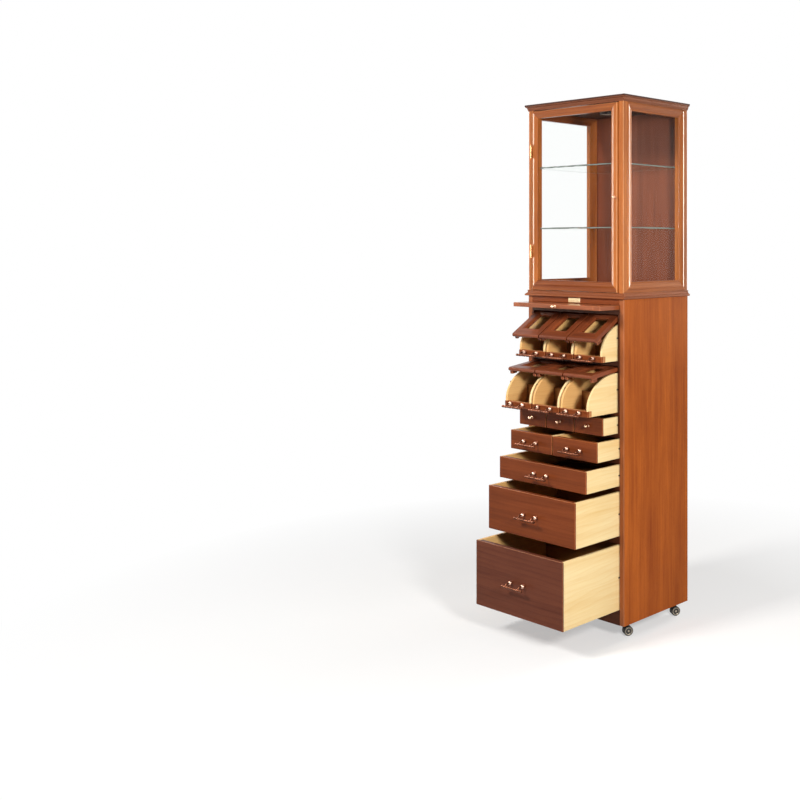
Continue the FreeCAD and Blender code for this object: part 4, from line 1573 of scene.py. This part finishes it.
@dataclass
class Castor:
    """A swivelling castor: a hooded body on a stem, and twin wheels with bright rims."""

    corner: str
    heading: float = 30.0
    trail: float = 14
    web: float = 8
    hub: float = 8
    gap: float = 0.4
    wheel: float = 18
    wheel_thick: float = 9
    collar: float = 14

    def build(self) -> None:
        """Build the body and the wheels."""
        body, node = self.corner + "_castor", self.corner + "_castor_body"
        x, y, seat = joint_place(body)
        place = Matrix.Translation((x, y, 0)) @ Matrix.Rotation(-math.radians(self.heading), 4, "Z")
        top = seat - self.gap
        axle, r = self.wheel, self.collar
        outline = [(-5, top - 3), (-5.5, axle + 12), (-3, axle)]
        outline += arc((self.trail, axle), (self.hub, self.hub), 200, 340, 9)
        outline += [(self.trail + 9, axle + 8), (self.trail + 5, axle + 15), (7, top - 3)]
        hood = Shape().slab(outline, -self.web / 2, self.web / 2, 0.8)
        plate = [(0, 0), (0, r - 1), (0.8, r), (2.4, r), (3.2, r - 1.2), (4.0, r * 0.72), (7.0, r * 0.52),
                 (9.0, 5.6), (9.0, 0)]
        hood.turned(plate, (0, 0, top), (0, 0, -1), 36)
        piece(body + "_hood", hood.moved(place), Palette.castor, body, [node], SHARP_TURNED)
        rise = box(node)[1].z - top
        pin = [(0, 0), (0, 4), (rise - 1, 4), (rise, 3), (rise, 0)]
        stem = Shape().turned(pin, (0, 0, top - 1), (0, 0, 1), 24)
        piece(body + "_stem", stem.moved(place), Palette.steel, body)
        self.wheels(place, body)

    def wheels(self, place: Matrix, name: str) -> None:
        """Build the twin wheels on their axle: dark treads, and bright rims and caps.

        Args:
            place: Where the castor stands.
            name: The castor's name.
        """
        tread, rims = Shape(), Shape()
        r, w = self.wheel, self.wheel_thick
        inner = self.web / 2 + self.gap
        tyre = [(0, 0), (0, r - 2), (0.7, r - 0.6), (2, r), (w - 2.4, r), (w - 0.9, r - 0.8),
                (w - 0.3, r - 2.4), (w - 0.5, r - 3.4), (w - 2, r - 4), (w - 2, 0)]
        rim = [(w - 2.2, r - 7.2), (w - 2.2, r - 3.6), (w - 0.2, r - 3.9), (w, r - 5.2), (w - 0.6, r - 6.6),
               (w - 1.6, r - 7.2)]
        cap = [(w - 2.2, 0), (w - 2.2, r - 7), (w - 1.5, r - 7.1), (w - 1.0, r - 9), (w - 0.9, r - 12.5),
               (w - 0.9, 0)]
        hub = [(w - 1.2, 0), (w - 1.2, 4.2), (w - 0.5, 3.9), (w - 0.1, 2.6), (w, 0)]
        for side in (-1, 1):
            start, way = (side * inner, self.trail, r), (side, 0, 0)
            tread.turned(tyre, start, way, 44)
            rims.turned(rim, start, way, 44, ring=True)
            tread.turned(cap, start, way, 44)
            rims.turned(hub, start, way, 28)
        axle = [(0, 0), (0, 2.4), (2 * inner, 2.4), (2 * inner, 0)]
        tread.turned(axle, (-inner, self.trail, r), (1, 0, 0), 20)
        for tag, made, finish, slot in (("treads", tread, Palette.castor, "castor_plastic"),
                                        ("rims", rims, Palette.rim, "wheel_metal")):
            piece(f"{name}_{tag}", made.moved(place), finish, name + "_wheels", [name + "_wheels"],
                  SHARP_TURNED)


# --------------------------------------------------------------------------------------
# Stage
# --------------------------------------------------------------------------------------


@dataclass
class Studio:
    """The camera, the lamps, the world and the floor, in metres."""

    eye: Triple = (2.7502, -3.0298, 1.4491)
    heading: float = 41.82
    lens: float = 48.248
    shift: Tuple[float, float] = (-0.2333, -0.1938)
    ambient: float = 0.115
    glow: float = 0.45
    grey: float = 0.55
    floor_half: float = 9
    fade: Tuple[float, float] = (0.9, 2.2)
    warm: Triple = (1.0, 0.98, 0.95)
    cream: Triple = (1.0, 0.92, 0.8)

    def build(self) -> None:
        """Set up everything round the cabinet."""
        bpy.context.scene.view_settings.view_transform = "Standard"
        self.camera()
        self.world()
        self.lamp("key_softbox", (-0.9, -3.7, 3.6), (0, -0.2, 0.9), (0.9, 0.9), 158, self.warm)
        self.lamp("side_softbox", (2.7, -1.4, 1.75), (0, -0.1, 0.9), (0.5, 0.5), 84, self.warm)
        for name, at, toward in (("left_strip", (-2.2, -0.4, 1.6), (0.2, -0.25, 1.6)),
                                 ("rear_strip", (0.5, 2.6, 1.6), (0.25, 0, 1.6))):
            self.lamp(name, at, toward, (1.1, 1.4), 76, self.cream).visible_diffuse = False
        fill = self.lamp("rear_fill", (0.7, 3.4, 2.3), (0, 0.2, 0.9), (1.4, 1.4), 48, self.warm)
        fill.visible_glossy = False
        self.floor()

    def camera(self) -> None:
        """Stand the camera where it sees the front and the right side, level, with its view shifted."""
        data = bpy.data.cameras.new("eye")
        data.lens = self.lens
        data.sensor_width = 36.0
        data.shift_x, data.shift_y = self.shift
        camera = bpy.data.objects.new("eye", data)
        camera.location = self.eye
        camera.rotation_euler = (math.pi / 2, 0, math.radians(self.heading))
        bpy.context.scene.collection.objects.link(camera)
        bpy.context.scene.camera = camera

    def world(self) -> None:
        """Light evenly from all round, and show white to the eye, to gloss and through glass."""
        world = bpy.data.worlds.new("plain_studio")
        bpy.context.scene.world = world
        world.use_nodes = True
        world.node_tree.nodes.clear()
        bench = Bench(world.node_tree)
        strength = bench.span(bench.seen(), 0.0, 1.0, self.ambient, 1.0)
        back = bench.node("Background", {"Color": (1.0, 1.0, 1.0), "Strength": strength})
        bench.node("OutputWorld", {"Surface": back.outputs[0]})

    def lamp(self, name: str, at: Triple, toward: Triple, size: Tuple[float, float], power: float,
             colour: Triple) -> bpy.types.Object:
        """Hang a softbox.

        Args:
            name: Its name.
            at: Where it hangs.
            toward: What it points at.
            size: Its width and height.
            power: Its power in watts.
            colour: The colour of its light.

        Returns:
            The lamp.
        """
        data = bpy.data.lights.new(name, "AREA")
        data.shape = "RECTANGLE"
        data.size, data.size_y = size
        data.energy = power
        data.color = colour
        made = bpy.data.objects.new(name, data)
        made.location = at
        made.rotation_euler = (Vector(toward) - Vector(at)).to_track_quat("-Z", "Y").to_euler()
        made.visible_camera = made.visible_transmission = False
        bpy.context.scene.collection.objects.link(made)
        return made

    def floor(self) -> None:
        """Lay a pale floor that keeps the cabinet's shadow and fades to white away from it."""
        half = self.floor_half / MM
        shape = Shape().board((-half, -half, -20), (half, half, 0), Axis.X)
        made = bpy.data.objects.new("floor", shape.mesh("floor", 30))
        bpy.context.scene.collection.objects.link(made)
        material = bpy.data.materials.new("pale_floor")
        material.use_nodes = True
        material.node_tree.nodes.clear()
        bench = Bench(material.node_tree)
        seen = bench.seen()
        matt = bench.node("BsdfDiffuse", {"Color": [self.grey] * 3})
        glow = bench.node("Emission", {"Strength": bench.math("MULTIPLY", seen, self.glow)})
        near = bench.node("AddShader", {0: matt.outputs[0], 1: glow.outputs[0]})
        place = bench.node("TexCoord", {}).outputs["Object"]
        reach = bench.node("VectorMath", {0: place}, operation="LENGTH").outputs["Value"]
        away = bench.math("MULTIPLY", bench.span(reach, *self.fade), seen)
        white = bench.node("Emission", {"Strength": 1.0})
        both = bench.node("MixShader", {0: away, 1: near.outputs[0], 2: white.outputs[0]})
        bench.node("OutputMaterial", {"Surface": both.outputs[0]})
        made.data.materials.append(material)


def main() -> None:
    """Build the studio and then the cabinet piece by piece."""
    logging.basicConfig(level=logging.INFO, format="%(name)s: %(message)s")
    Studio().build()
    Carcass().build()
    Drawer("deep_drawer", Palette.deep_front).build()
    for name in ("large_drawer", "shallow_drawer", "half_drawer_left", "half_drawer_right"):
        Drawer(name, Palette.front).build()
    for column in ("left", "middle", "right"):
        Drawer("small_drawer_" + column, Palette.front, Knob()).build()
        for row, rest in (("lower", 83.0), ("upper", 58.5)):
            ScoopBin(f"{row}_bin_{column}").build()
            Flap(f"{row}_flap_{column}", rest).build()
    WritingSlide().build()
    DisplayCase().build()
    Door().build()
    for corner in ("front_left", "front_right", "rear_left", "rear_right"):
        Castor(corner).build()


if __name__ == "__main__":
    main()
